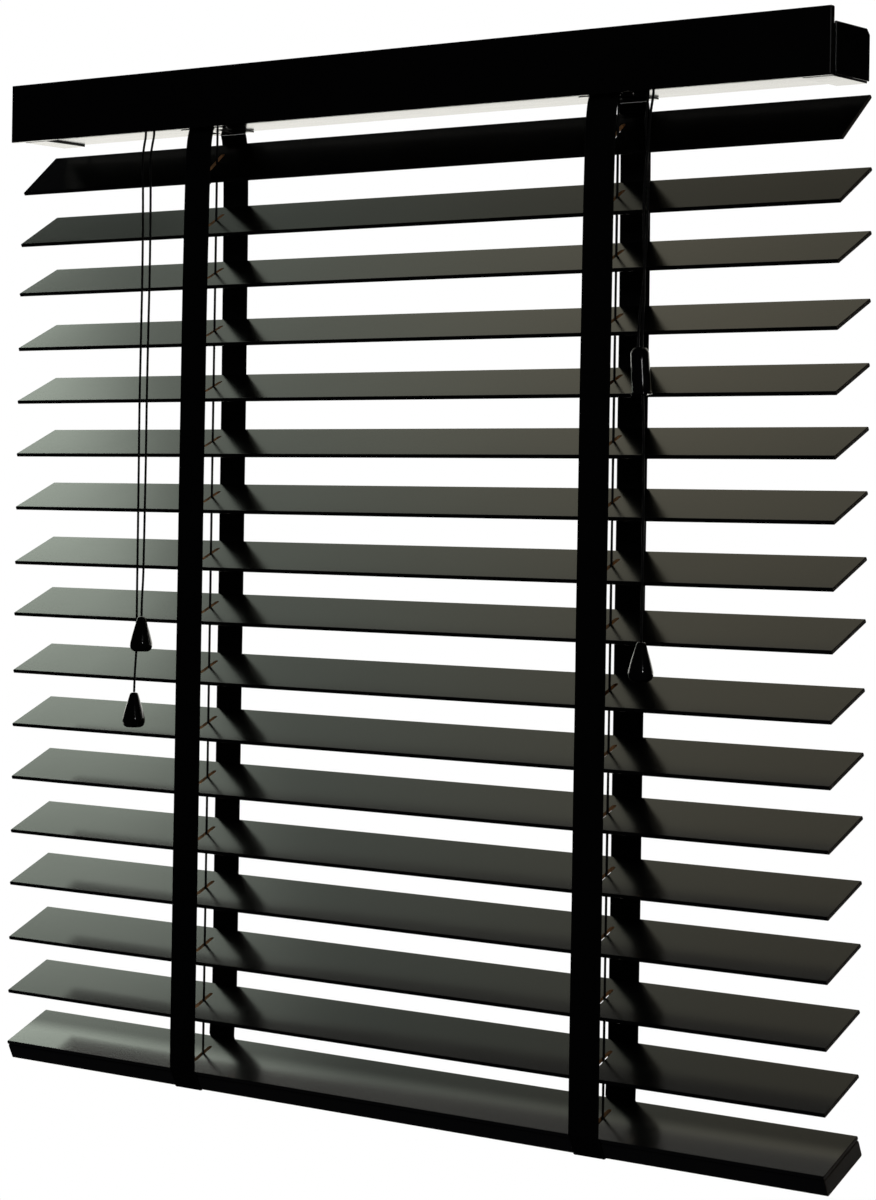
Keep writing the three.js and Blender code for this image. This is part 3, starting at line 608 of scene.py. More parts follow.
def smooth_route(points, per_span=8):
    """The centripetal Catmull-Rom curve through the points: between two of them, it is the blend of
    straight lines whose knots are spaced by the square root of the distance."""
    p = np.asarray(points, float)
    p = np.vstack([2 * p[0] - p[1], p, 2 * p[-1] - p[-2]])
    gap = np.maximum(np.linalg.norm(np.diff(p, axis=0), axis=1), 1e-9) ** 0.5
    k0 = np.zeros(len(p) - 3)[:, None, None]
    k1 = k0 + gap[:-2, None, None]
    k2 = k1 + gap[1:-1, None, None]
    k3 = k2 + gap[2:, None, None]
    t = k1 + (k2 - k1) * np.linspace(0, 1, per_span, endpoint=False)[None, :, None]
    q0, q1, q2, q3 = (p[i:len(p) - 3 + i][:, None] for i in range(4))
    a1 = (k1 - t) / (k1 - k0) * q0 + (t - k0) / (k1 - k0) * q1
    a2 = (k2 - t) / (k2 - k1) * q1 + (t - k1) / (k2 - k1) * q2
    a3 = (k3 - t) / (k3 - k2) * q2 + (t - k2) / (k3 - k2) * q3
    b1 = (k2 - t) / (k2 - k0) * a1 + (t - k0) / (k2 - k0) * a2
    b2 = (k3 - t) / (k3 - k1) * a2 + (t - k1) / (k3 - k1) * a3
    curve = (k2 - t) / (k2 - k1) * b1 + (t - k1) / (k2 - k1) * b2
    return np.vstack([curve.reshape(-1, p.shape[1]), p[-2]])


def along(path):
    """Distance along a path, from its first point to each of its points."""
    return np.concatenate([[0], np.cumsum(np.linalg.norm(np.diff(path, axis=0), axis=1))])


def ribbed_tube(path, radius, sides=12, across=(1, 0, 0), swell=0.0):
    """A tube: p + r (n cos a + b sin a), with n square to the path in the plane of across. The radius
    r swells and narrows by its share swell in a four-start braid that climbs the cord."""
    ahead = np.gradient(path, axis=0)
    ahead /= np.linalg.norm(ahead, axis=1, keepdims=True)
    n = np.asarray(across, float) - ahead @ np.asarray(across, float)[:, None] * ahead
    n /= np.linalg.norm(n, axis=1, keepdims=True)
    b = np.cross(ahead, n)
    a = np.linspace(0, 2 * np.pi, sides, endpoint=False)
    v = along(path) / (2 * np.pi * radius)
    phase = 4 * np.pi * v[:, None]
    r = radius * (1 + swell * np.maximum(np.sin(4 * a + phase), np.sin(4 * a - phase)))
    outward = np.cos(a)[:, None] * n[:, None] + np.sin(a)[:, None] * b[:, None]
    points = path[:, None] + r[..., None] * outward
    u = np.linspace(0, 1, sides + 1)
    uv = np.stack(np.broadcast_arrays(u[None, :], v[:, None]), 2)
    return points, uv


def cord_skin(skin, path, radius, **options):
    """Adds a cord with flat ends to a skin."""
    points, uv = ribbed_tube(path, radius, **options)
    skin.grid(points, ring=True, uv=uv)
    skin.lid(points[0])
    skin.lid(points[-1])


# ---- slats -----------------------------------------------------------------------------------------------

def slat_lean(node):
    """A slat's tilt about X, from its box: a board of depth d and thickness t that leans by a is
    d cos a + t sin a deep and d sin a + t cos a high."""
    low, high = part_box(node)
    deep, tall = (high - low)[1], (high - low)[2]
    return math.atan2(SLAT_DEPTH * tall - SLAT_THICKNESS * deep, SLAT_DEPTH * deep - SLAT_THICKNESS * tall)


def slat_centre(i):
    low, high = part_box(f"slat_{i:02d}")
    return (low + high) / 2


def leaning(points, centre, lean, twist=0.0):
    """Carries [x, depth, height] points of a flat slat into place. twist adds to the lean along X."""
    x, v, w = points[..., 0], points[..., 1], points[..., 2]
    a = lean + twist
    return np.stack([x + centre[0], centre[1] + v * np.cos(a) - w * np.sin(a),
                     centre[2] + v * np.sin(a) + w * np.cos(a)], -1)


def around(half_x, half_v, sides, ends, bow):
    """A closed outline: up the right side, across the far end, down the left side and back. With bow 0
    the ends are straight; with bow 1 they are half circles of radius half_x."""
    s = np.asarray(sides, float)
    t = np.linspace(0, np.pi, ends)[1:-1]
    straight = 1 - 2 * (t / np.pi)
    end_x = half_x * ((1 - bow) * straight + bow * np.cos(t))
    end_v = half_v + bow * half_x * np.sin(t)
    right = np.column_stack([np.full(len(s), half_x), half_v * s])
    far = np.column_stack([end_x, end_v])
    return np.vstack([right, far, -right, -far])


def slat_skin(sizes):
    """A slat lying flat: eased section along X, with a grid round each slot that runs from a
    rectangle in to the slot's round-ended outline, and the slot's bevelled wall."""
    half, thick, ease, rim = SLAT_DEPTH / 2, SLAT_THICKNESS / 2, sizes.slat_ease, sizes.slot_rim
    low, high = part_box("slat_01")
    reach = (high - low)[0] / 2
    flat = half - ease
    sides = np.array([-1, -1 + 0.5 * MM / flat, -0.5, 0, 0.5, 1 - 0.5 * MM / flat, 1])
    turn = np.linspace(np.pi / 2, 0, 5)
    corner = np.column_stack([flat + ease * np.cos(turn), thick - ease + ease * np.sin(turn)])
    edge = np.vstack([corner, corner[::-1] * [1, -1]])
    top = np.column_stack([flat * sides, np.full(len(sides), thick)])[1:-1]
    section = np.vstack([top, edge, top[::-1] * [1, -1], edge[::-1] * [-1, 1]])
    zone = 8 * MM
    skin = Skin()

    def carried(outline, x):
        rows = np.broadcast_to(outline, (len(x), *outline.shape))
        return np.concatenate([np.broadcast_to(x[:, None, None], (*rows.shape[:2], 1)), rows], 2)

    centres = [x for _, x in LADDERS]
    tip = 0.4 * MM
    starts = [tip - reach, centres[0] + zone, centres[1] + zone]
    stops = [centres[0] - zone, centres[1] - zone, reach - tip]
    for x0, x1 in zip(starts, stops):
        skin.grid(carried(section, np.linspace(x0, x1, max(3, int((x1 - x0) / (12 * MM))))), ring=True)
    for side in (-1, 1):
        shrunk = section * (1 - 2 * tip / np.array([SLAT_DEPTH, SLAT_THICKNESS]))
        rows = carried(section, np.array([side * (reach - tip), side * reach]))
        rows[1, :, 1:] = shrunk
        skin.grid(rows, kind=2, ring=True)
        skin.lid(rows[1], kind=2)
    slot_v = sizes.slot_length / 2 - sizes.slot_width / 2
    slot_x = sizes.slot_width / 2
    across = 5
    for centre in centres:
        x = centre + np.linspace(-zone, zone, across)
        for outline in (edge, edge * [-1, 1]):
            skin.grid(carried(outline, x))
        outer = around(zone, flat, sides, across, 0)
        inner = around(slot_x + rim, slot_v, sides, across, 1)
        share = np.array([0, 0.06, 0.5, 1])[:, None, None]
        plan = outer + (inner - outer) * share
        plan = plan + [centre, 0]
        for height in (thick, -thick):
            skin.grid(np.concatenate([plan, np.full((*plan.shape[:2], 1), height)], 2), ring=True)
        wall = around(slot_x, slot_v, sides, across, 1)
        loops = np.stack([inner, wall, wall, inner]) + [centre, 0]
        heights = np.array([thick, thick - rim, rim - thick, -thick])[:, None, None]
        heights = np.broadcast_to(heights, (*loops.shape[:2], 1))
        skin.grid(np.concatenate([loops, heights], 2), kind=1, ring=True)
    return skin


# ---- ladder tapes ----------------------------------------------------------------------------------------

def tape_distance(z):
    """Distance of a tape's middle from the blind's centre plane at height z: the full stand-off, less
    two exponentials that fall below the headrail, one fast and one slow."""
    drop = np.maximum(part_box("headrail")[0][2] - z, 0)
    near_draw = TAPE_STAND_OFF - TAPE_AT_CRADLE - TAPE_LONG_DRAW
    fast = near_draw * np.exp(-drop / TAPE_NEAR_DROP)
    slow = TAPE_LONG_DRAW * np.exp(-drop / TAPE_LONG_DROP)
    return TAPE_STAND_OFF - fast - slow


def tape_strip(name, x, route, materials):
    """A tape along a route of [y, z] points: its section is flat with rounded edges, 1.3 times as thick
    over the selvedges, and it waves by 0.1 mm across and half of that in and out."""
    sizes = bpy.context.scene.blind_sizes
    half, thick = sizes.tape_width / 2, sizes.tape_thickness / 2
    u = np.array([-1, -0.985, -0.94, -0.88, -0.86, -0.5, 0, 0.5, 0.86, 0.88, 0.94, 0.985, 1])
    selvedge = np.where(np.abs(u) > 0.87, 1.3, 1.0)
    swell = selvedge * np.sqrt(np.clip(1 - np.abs(u) ** 40, 0.04, 1))
    route = np.asarray(route)
    ahead = np.gradient(route, axis=0)
    ahead /= np.linalg.norm(ahead, axis=1, keepdims=True)
    out = np.column_stack([ahead[:, 1], -ahead[:, 0]])
    v = along(route)
    wave = 0.1 * MM * np.sin(v / (23 * MM) + 40 * x)
    skin = Skin()
    loop_u = np.concatenate([u, u[::-1]])
    loop_t = np.concatenate([swell, -swell[::-1]]) * thick
    offset = loop_t[None, :] + wave[:, None] * 0.5
    y = route[:, :1] + out[:, :1] * offset
    z = route[:, 1:] + out[:, 1:] * offset
    px = x + loop_u[None, :] * half + wave[:, None]
    across = np.concatenate([loop_u, loop_u[:1]]) * half + half
    uv = np.stack(np.broadcast_arrays(across[None, :], v[:, None]), 2)
    points = np.stack([px, y, z], 2)
    skin.grid(points, ring=True, uv=uv)
    skin.lid(points[0])
    skin.lid(points[-1])
    return skin.mesh(name, materials, 60), v[-1]


# ---- the operators ---------------------------------------------------------------------------------------

CAMERA_PLACE = Vector((1.457, -1.8432, -0.3317))
CAMERA_LENS = 93
CAMERA_SENSOR = 36
CAMERA_SHIFT = -0.0813
CAMERA_YAW = math.radians(-37.66)
CAMERA_PITCH = math.radians(0.08)
CAMERA_ROLL = math.radians(0.9)

SURROUND_GLOW = (0.008, 0.008, 0.009)
LAMP_PLACE = Vector((1.9, -1.3, 0.25))
LAMP_AIM = Vector((0.1, 0, -0.3))
LAMP_SIZE = (0.12, 0.34)
LAMP_WATTS = 2.8

WALL_X = (-4.0, 1.2)
WALL_Z = (-2.1, 1.4)
WALL_BEHIND = 0.8
WINDOW_GLOW = 2.2
STRIP_GLOW = 1.65
GREENISH = (0.89, 1.0, 0.86)
WARM = (1.07, 1.0, 0.76)
NEARLY_WHITE = (1.0, 0.985, 0.92)

FLOOR_HALF = 1.6
FLOOR_HEIGHT = -2.1
FLOOR_GLOW = (0.86, 0.86, 0.85)


class BLIND_OT_stage(bpy.types.Operator):
    """Sets up the camera, the studio light and the floor."""

    bl_idname = "blind.stage"
    bl_label = "Stage"

    def execute(self, context):
        self.camera(context.scene)
        self.light(context.scene)
        self.floor()
        return {"FINISHED"}

    def camera(self, scene):
        data = bpy.data.cameras.new("camera")
        data.lens = CAMERA_LENS
        data.sensor_width = CAMERA_SENSOR
        data.shift_y = CAMERA_SHIFT
        ahead = Vector((math.sin(CAMERA_YAW) * math.cos(CAMERA_PITCH),
                        math.cos(CAMERA_YAW) * math.cos(CAMERA_PITCH), math.sin(CAMERA_PITCH)))
        level = Vector((math.cos(CAMERA_YAW), -math.sin(CAMERA_YAW), 0))
        upward = level.cross(ahead)
        right = math.cos(CAMERA_ROLL) * level + math.sin(CAMERA_ROLL) * upward
        up = math.cos(CAMERA_ROLL) * upward - math.sin(CAMERA_ROLL) * level
        turn = Matrix((right, up, -ahead)).transposed().to_4x4()
        camera = bpy.data.objects.new("camera", data)
        camera.matrix_world = Matrix.Translation(CAMERA_PLACE) @ turn
        scene.collection.objects.link(camera)
        scene.camera = camera

    def light(self, scene):
        """A plain white surround that gives almost no light, a glowing wall behind the blind and a small
        lamp in front of it."""
        scene.view_settings.view_transform = "Standard"
        world = bpy.data.worlds.new("studio")
        world.use_nodes = True
        scene.world = world
        s = Shader(world.node_tree)
        seen = s.node("ShaderNodeLightPath")[0]
        colour = s.mix(seen, SURROUND_GLOW, (1.0, 1.0, 1.0))
        glow = s.node("ShaderNodeBackground", {}, {0: colour, 1: 1.0})[0]
        s.node("ShaderNodeOutputWorld", {}, {0: glow})
        self.wall()
        lamp = bpy.data.lights.new("fill_lamp", "AREA")
        lamp.shape = "RECTANGLE"
        lamp.size, lamp.size_y = LAMP_SIZE
        lamp.energy = LAMP_WATTS
        lamp_object = bpy.data.objects.new("fill_lamp", lamp)
        aim = (LAMP_AIM - LAMP_PLACE).to_track_quat("-Z", "Y")
        lamp_object.matrix_world = Matrix.Translation(LAMP_PLACE) @ aim.to_matrix().to_4x4()
        scene.collection.objects.link(lamp_object)

    def wall(self):
        """The glowing wall: a bright greenish window on the left, whose edge leans, a dimmer field that
        fades upwards and turns warm to the right, and a white strip level with the blind and below."""
        (left, right), (low, high) = WALL_X, WALL_Z
        corners = [(left, low), (right, low), (right, high), (left, high)]
        skin = Skin()
        skin.lid(np.array([[x, WALL_BEHIND, z] for x, z in corners]))
        material, s = new_material("glowing_wall")
        _, x, _, z = s.places()
        window = (1 - x.step(-1.55, -1.15)) * (1 - (z + x * 0.3).step(0.17, 0.27)) * WINDOW_GLOW
        gap = (1 - x.step(-1.62, -1.36)) * z.step(0.74, 0.95)
        fade = (1 - z.step(0.8, 1.0) * 0.32) * (1 - z.step(1.18, 1.3)) * (1 - z.step(0.62, 0.74) * 0.25)
        field = (0.34 - x * 0.18) * fade * (1 - gap * 0.62)
        strip = (1 - z.step(-0.02, 0.06)) * STRIP_GLOW
        brightest = s.math("MAXIMUM", s.math("MAXIMUM", window, field), strip)
        strength = brightest * (1 - x.step(0.3, 0.7))
        tone = s.mix(x.step(-1.4, -0.4), GREENISH, WARM)
        tone = s.mix(1 - z.step(0.0, 0.1), tone, NEARLY_WHITE)
        colour = s.node("ShaderNodeVectorMath", {"operation": "SCALE"}, {0: tone, 3: strength})[0]
        glow = s.node("ShaderNodeEmission", {}, {0: colour, 1: 1.0})[0]
        s.node("ShaderNodeOutputMaterial", {}, {"Surface": glow})
        wall = place("studio_wall", skin.mesh("studio_wall", [material]))
        wall.visible_camera = False

    def floor(self):
        """A plain pale floor under the window's head, which neither lights nor shows in the blind."""
        corners = [(-1, -1), (1, -1), (1, 1), (-1, 1)]
        skin = Skin()
        skin.lid(np.array([[x * FLOOR_HALF, y * FLOOR_HALF, FLOOR_HEIGHT] for x, y in corners]))
        material, s = new_material("pale_floor")
        s.surface({"Base Color": solid((0.1, 0.1, 0.1)), "Emission Color": solid(FLOOR_GLOW),
                   "Emission Strength": 1.0})
        floor = place("studio_floor", skin.mesh("studio_floor", [material]))
        floor.visible_diffuse = False
        floor.visible_glossy = False


class BLIND_OT_pull_cords(bpy.types.Operator):
    """Makes the two tilt cords, the two lift cords, their tassels and the joiner."""

    bl_idname = "blind.pull_cords"
    bl_label = "Pull cords"

    def execute(self, context):
        sizes = context.scene.blind_sizes
        cord, plastic = cord_finish(), plastic_finish()
        joiner = self.joiner(sizes, plastic)
        lift_tassel = self.tassel(sizes, plastic, LIFT_CORD_LEFT, "lift_tassel", "lift_pull")
        pulls = (
            ("tilt_cord_near", TILT_CORD_NEAR, "tilt_pull_near", "tilt_tassel_near"),
            ("tilt_cord_far", TILT_CORD_FAR, "tilt_pull_far", "tilt_tassel_far"),
        )
        for node, route, body, tassel_node in pulls:
            tassel = self.tassel(sizes, plastic, route, tassel_node, body)
            piece, path = self.strand(sizes, cord, node, route)
            self.declare(sizes, piece, path, [tassel])
            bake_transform(piece)
        for node, route, riders in (
            ("lift_cord_left", LIFT_CORD_LEFT, [joiner, lift_tassel]),
            ("lift_cord_right", LIFT_CORD_RIGHT, [joiner]),
        ):
            piece, path = self.strand(sizes, cord, node, route)
            self.declare(sizes, piece, path, riders)
            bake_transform(piece)
        return {"FINISHED"}

    def declare(self, sizes, piece, path, riders):
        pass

    def strand(self, sizes, material, node, route):
        path = smooth_route(route, 14)
        skin = Skin()
        cord_skin(skin, path, sizes.cord_diameter / 2, swell=0.07)
        piece = place(f"{node}_braid", skin.mesh(node, [material], 80), None, (node,))
        return piece, path

    def tassel(self, sizes, material, route, node, body):
        """A pear-shaped weight turned about Z, with a dimple for the cord at the top and a flat foot."""
        h, r = sizes.tassel_height, sizes.tassel_radius
        shape = rounded_profile(np.array([
            [0.16, -0.015], [0.25, -0.004], [0.34, -0.025], [0.42, -0.09], [0.54, -0.22], [0.75, -0.45],
            [0.92, -0.66], [0.99, -0.77], [0.97, -0.87], [0.86, -0.95], [0.7, -0.99],
        ]) * [r, h])
        profile = np.vstack([[0, -0.06 * h], [0.15 * r, -0.06 * h], shape, [0.64 * r, -h], [0.58 * r, -h],
                             [0.53 * r, -0.985 * h], [0, -0.985 * h]])
        skin = Skin()
        skin.grid(turned(profile, 56), ring=True)
        skin.points = [p + route[-1] - [0, 0, FIT] for p in skin.points]
        mesh = skin.mesh(node, [material], 50)
        return place(f"{node}_turned", mesh, body, (node,))

    def joiner(self, sizes, material):
        """A barrel turned about its own leaning axis: wide chamfered mouth, small lipped foot."""
        long, r, bore = sizes.joiner_length, sizes.joiner_radius, 3.8 * MM
        hole = sizes.cord_diameter
        outside = np.array([
            [bore, -1 * MM], [bore + 0.2 * MM, -0.4 * MM], [r - 2.6 * MM, 0], [r - 1.9 * MM, -0.5 * MM],
            [r - 0.6 * MM, -2.6 * MM], [r - 0.2 * MM, -3.6 * MM], [r - 0.1 * MM, -0.35 * long],
            [r, -0.65 * long], [r, -long + 3 * MM], [r + 0.3 * MM, -long + 2.1 * MM],
            [r + 0.8 * MM, -long + 1.3 * MM], [r + 0.8 * MM, -long + 0.5 * MM], [r + 0.3 * MM, -long],
            [hole, -long], [hole, -long + 3 * MM], [bore, -long + 6 * MM], [bore, -1 * MM],
        ])
        skin = Skin()
        points = turned(outside, 48)
        c, s = math.cos(JOINER_LEAN), math.sin(JOINER_LEAN)
        lean = np.array([[c, 0, -s], [0, 1, 0], [s, 0, c]])
        skin.grid(points @ lean.T + JOINER_TOP, ring=True)
        mesh = skin.mesh("cord_joiner", [material], 28)
        return place("cord_joiner_turned", mesh, "lift_pull", ("cord_joiner",))


class BLIND_OT_slats(bpy.types.Operator):
    """Makes the lacquered slats with their bare-walled cord slots."""

    bl_idname = "blind.slats"
    bl_label = "Slats"

    def execute(self, context):
        sizes = context.scene.blind_sizes
        finishes = [lacquer_finish(), bare_wood_finish(), end_grain_finish()]
        for i in range(1, LAST_SLAT + 1):
            node = f"slat_{i:02d}"
            skin = slat_skin(sizes)
            centre, lean = slat_centre(i), slat_lean(node)
            skin.points = [
                leaning(p, centre, lean, SLAT_WARP * np.sin(5.2 * p[..., 0] + 2.4 * i) * np.sin(1.7 * i))
                for p in skin.points
            ]
            place(f"{node}_board", skin.mesh(node, finishes), BODY_OF[node], (node,))
        return {"FINISHED"}


class BLIND_OT_bottom_rail(bpy.types.Operator):
    """Makes the bottom rail under the last slat."""

    bl_idname = "blind.bottom_rail"
    bl_label = "Bottom rail"

    def execute(self, context):
        sizes = context.scene.blind_sizes
        half = SLAT_DEPTH / 2
        top = -SLAT_THICKNESS / 2 - FIT
        bottom = top - RAIL_THICKNESS
        corners = [[-half, bottom], [half, bottom], [half, top], [-half, top]]
        section = eased_section(corners, sizes.rail_ease)
        low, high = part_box("bottom_rail")
        rows = board(section, low[0], high[0], 0.5 * MM)
        centre, lean = slat_centre(LAST_SLAT), slat_lean(f"slat_{LAST_SLAT:02d}")
        rows = leaning(rows, Vector((0, *centre[1:])), lean)
        skin = Skin()
        skin.grid(rows[1:-1], ring=True)
        for end in (rows[:2], rows[-2:]):
            skin.grid(end, kind=1, ring=True)
        skin.lid(rows[0], kind=1)
        skin.lid(rows[-1], kind=1)
        mesh = skin.mesh("bottom_rail", [lacquer_finish(), end_grain_finish()])
        place("bottom_rail_board", mesh, "bottom_rail_assembly", ("bottom_rail",))
        return {"FINISHED"}


class BLIND_OT_ladder_tapes(bpy.types.Operator):
    """Weaves the two ladder tapes: over the drum, down both sides and under the bottom rail."""

    bl_idname = "blind.ladder_tapes"
    bl_label = "Ladder tapes"

    def execute(self, context):
        sizes = context.scene.blind_sizes
        self.finish = [tape_finish()]
        self.sizes = sizes
        self.rail = slat_centre(LAST_SLAT)
        self.lean = slat_lean(f"slat_{LAST_SLAT:02d}")
        self.under = SLAT_THICKNESS / 2 + FIT + RAIL_THICKNESS
        for side, x in LADDERS:
            self.tape(side, x)
        return {"FINISHED"}

    def on_rail(self, v, w):
        """A point of the bottom rail's section carried into [y, z]."""
        c, s = math.cos(self.lean), math.sin(self.lean)
        return np.array([self.rail[1] + v * c - w * s, self.rail[2] + v * s + w * c])

    def piece(self, name, x, route, held="hung"):
        mesh, reach = tape_strip(name, x, route, self.finish)
        made = place(name, mesh, None)
        return made

    def tape(self, side, x):
        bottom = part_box("headrail")[0][2]
        thick = self.sizes.tape_thickness
        gap = FIT + thick / 2
        half = SLAT_DEPTH / 2 + gap
        high, low = SLAT_THICKNESS / 2 + MM, -self.under + 1.2 * MM
        inset = 2 * MM
        turn = np.linspace(0, np.pi / 2, 6)[1:-1]
        corner = [(half - (1 - math.cos(k)) * inset, low - math.sin(k) * (1.2 * MM + gap)) for k in turn]
        across = [(v, -self.under - gap) for v in np.linspace(-half + inset, half - inset, 9)]
        outline = [(-half, high), (-half, low), *((-v, w) for v, w in corner), *across, *corner[::-1],
                   (half, low), (half, high)]
        wrap = [self.on_rail(v, w) for v, w in outline]
        under = self.piece(f"tape_{side}_under_rail", x, wrap, "stretched")
        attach(under, "bottom_rail_assembly")
        for name, sign, foot in (("front", -1, wrap[0]), ("rear", 1, wrap[-1])):
            neck = foot[1] + 34 * MM
            t = np.linspace(0, 1, 9)[:, None]
            ease = t * t * (3 - 2 * t)
            y = sign * tape_distance(neck)
            tail_z = neck + (foot[1] - neck) * t
            tail = np.column_stack([y + (foot[0] - y) * ease, tail_z])
            made = self.piece(f"tape_{side}_{name}_tail", x, tail)
            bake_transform(made)
            z = np.linspace(bottom - 2 * MM, neck, 180)
            drop = np.column_stack([sign * tape_distance(z), z])
            made = self.piece(f"tape_{side}_{name}", x, drop)
            if sign < 0:
                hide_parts(f"ladder_tape_{side}")
            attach(made, "headrail_assembly")
            top = bottom - 2 * MM
            keep = 1 - LIFT_TRAVEL / (top - neck)
            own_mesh(made)
        arc = np.linspace(np.pi, 0, 25)
        radius = DRUM_RADIUS + FIT + thick / 2
        over = np.column_stack([radius * np.cos(arc), radius * np.sin(arc) - ROD_DROP])
        rise = np.array([[-TAPE_AT_CRADLE, bottom - 2 * MM], [-TAPE_AT_CRADLE, bottom + 1.5 * MM],
                         [-0.9 * TAPE_AT_CRADLE, bottom + 5 * MM]])
        loop = np.vstack([rise, over, (rise * [-1, 1])[::-1]])
        made = self.piece(f"tape_{side}_over_drum", x, loop, "stretched")
        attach(made, "headrail_assembly")


class BLIND_OT_rungs(bpy.types.Operator):
    """Makes the rungs that carry each hung slat between the front and the rear tape."""

    bl_idname = "blind.rungs"
    bl_label = "Rungs"

    def execute(self, context):
        sizes = context.scene.blind_sizes
        finish = [cord_finish()]
        low = -SLAT_THICKNESS / 2 - FIT - RUNG_RADIUS
        for i in range(1, HUNG_SLATS + 1):
            node = f"slat_{i:02d}"
            centre, lean = slat_centre(i), slat_lean(node)
            reach = tape_distance(centre[2]) - sizes.tape_thickness / 2
            ends = [(low * math.sin(lean) + side * reach) / math.cos(lean) for side in (-1, 1)]
            v = np.linspace(ends[0], ends[1], 24)
            sag = low - RUNG_SAG * (1 - ((v - v.mean()) / np.ptp(v) * 2) ** 2)
            skin = Skin()
            for _, x in LADDERS:
                for offset in (-sizes.rung_offset, sizes.rung_offset):
                    path = np.column_stack([np.full(len(v), x + offset), v, sag])
                    cord_skin(skin, path, RUNG_RADIUS, sides=8, swell=0.1)
            skin.points = [leaning(p, centre, lean) for p in skin.points]
            stands_for = (f"ladder_rung_{i:02d}",) if i > 1 else ()
            name = f"rungs_{i:02d}"
            place(name, skin.mesh(name, finish, 80), BODY_OF[node], stands_for)
        return {"FINISHED"}


class BLIND_OT_lift_cords(bpy.types.Operator):
    """Makes the lift cords inside the blind, from the bottom rail to the cord lock."""

    bl_idname = "blind.lift_cords"
    bl_label = "Inner lift cords"

    def execute(self, context):
        sizes = context.scene.blind_sizes
        finish = [cord_finish()]
        radius = sizes.cord_diameter / 2
        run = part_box("lift_cord_inner_left")[1][2] - radius
        rail = slat_centre(LAST_SLAT)
        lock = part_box("cord_lock")[0][0] - FIT
        for (side, x), y in zip(LADDERS, (-2.4 * MM, 0.2 * MM)):
            foot = rail[2] - 6 * MM
            z = np.linspace(run, foot, 260)
            skin = Skin()
            cord_skin(skin, np.column_stack([np.full(len(z), x), np.zeros(len(z)), z]), radius, swell=0.07)
            drop = place(f"lift_cord_{side}_drop", skin.mesh(f"lift_cord_{side}_drop", finish, 80),
                         "headrail_assembly", (f"lift_cord_inner_{side}",))
            keep = 1 - LIFT_TRAVEL / (run - foot)
            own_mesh(drop)
            knees = np.array([[x, 0, run - MM], [x, 0, run - 0.2 * MM], [x + 1.5 * MM, 0.15 * y, run],
                              [x + 12 * MM, y, run], [(x + lock) / 2, y, run], [lock, y, run]])
            route = smooth_route(knees, 24)
            skin = Skin()
            cord_skin(skin, route, radius, across=(0, 1, 0), swell=0.07)
            name = f"lift_cord_{side}_run"
            place(name, skin.mesh(name, finish, 80), "headrail_assembly")
        return {"FINISHED"}


class BLIND_OT_headrail(bpy.types.Operator):
    """Finishes the headrail, its brackets and their black covers."""

    bl_idname = "blind.headrail"
    bl_label = "Headrail"

    def execute(self, context):
        steel, plastic = painted_steel_finish(), plastic_finish()
        refined("headrail", "headrail_channel", steel, 0.45 * MM, 3)
        for side in ("left", "right"):
            refined(f"bracket_{side}", f"bracket_{side}_sleeve", steel, 0.3 * MM)
            refined(f"end_cover_{side}", f"end_cover_{side}_cap", plastic, 0.4 * MM, 3)
        return {"FINISHED"}


class BLIND_OT_valance(bpy.types.Operator):
    """Makes the valance board and the clips that hold it to the headrail."""

    bl_idname = "blind.valance"
    bl_label = "Valance"

    def execute(self, context):
        sizes = context.scene.blind_sizes
        low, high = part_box("valance")
        corners = [[low[1], low[2]], [high[1], low[2]], [high[1], high[2]], [low[1], high[2]]]
        rows = board(eased_section(corners, sizes.valance_ease, support=0.4 * MM), low[0], high[0], 0.4 * MM)
        skin = Skin()
        skin.grid(rows[1:-1], ring=True)
        for end in (rows[:2], rows[-2:]):
            skin.grid(end, ring=True)
        skin.lid(rows[0])
        skin.lid(rows[-1])
        mesh = skin.mesh("valance", [lacquer_finish()])
        place("valance_board", mesh, "headrail_assembly", ("valance",))
        for k, x in enumerate((-0.3, 0.0, 0.3)):
            self.clip(f"valance_clip_{k + 1}", x)
        return {"FINISHED"}

    def clip(self, name, x):
        """A bent strip: hooked over the headrail's lip, across the gap and down the valance's back."""
        rail_low, rail_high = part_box("headrail")
        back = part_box("valance")[1][1]
        thick = 1.1 * MM
        lip = rail_high[2] + thick / 2 + 0.1 * MM
        route = rounded_profile(np.array([
            [rail_low[1] + 6 * MM, lip - 0.2 * MM], [rail_low[1] + 3 * MM, lip], [rail_low[1], lip],
            [rail_low[1] - 0.8 * MM, lip - 1.5 * MM], [back + 0.7 * MM, lip - 6 * MM],
            [back + 0.7 * MM, lip - 16 * MM], [back + 0.7 * MM, rail_low[2] + 4 * MM],
        ]), 6)
        ahead = np.gradient(route, axis=0)
        ahead /= np.linalg.norm(ahead, axis=1, keepdims=True)
        out = np.column_stack([ahead[:, 1], -ahead[:, 0]]) * thick / 2
        faces = np.stack([route - out, route + out], 1)
        half = 7 * MM
        x_loop = np.array([x - half, x + half, x + half, x - half])
        side = faces[:, [0, 0, 1, 1]]
        points = np.concatenate([np.broadcast_to(x_loop[None, :, None], (len(route), 4, 1)), side], 2)
        skin = Skin()
        skin.grid(points, ring=True)
        skin.lid(points[0])
        skin.lid(points[-1])
        piece = place(name, skin.mesh(name, [nylon_finish()]), "headrail_assembly")
        bevel = piece.modifiers.new("eased edges", "BEVEL")
        bevel.width = 0.25 * MM
        bevel.segments = 2
        bevel.limit_method = "ANGLE"


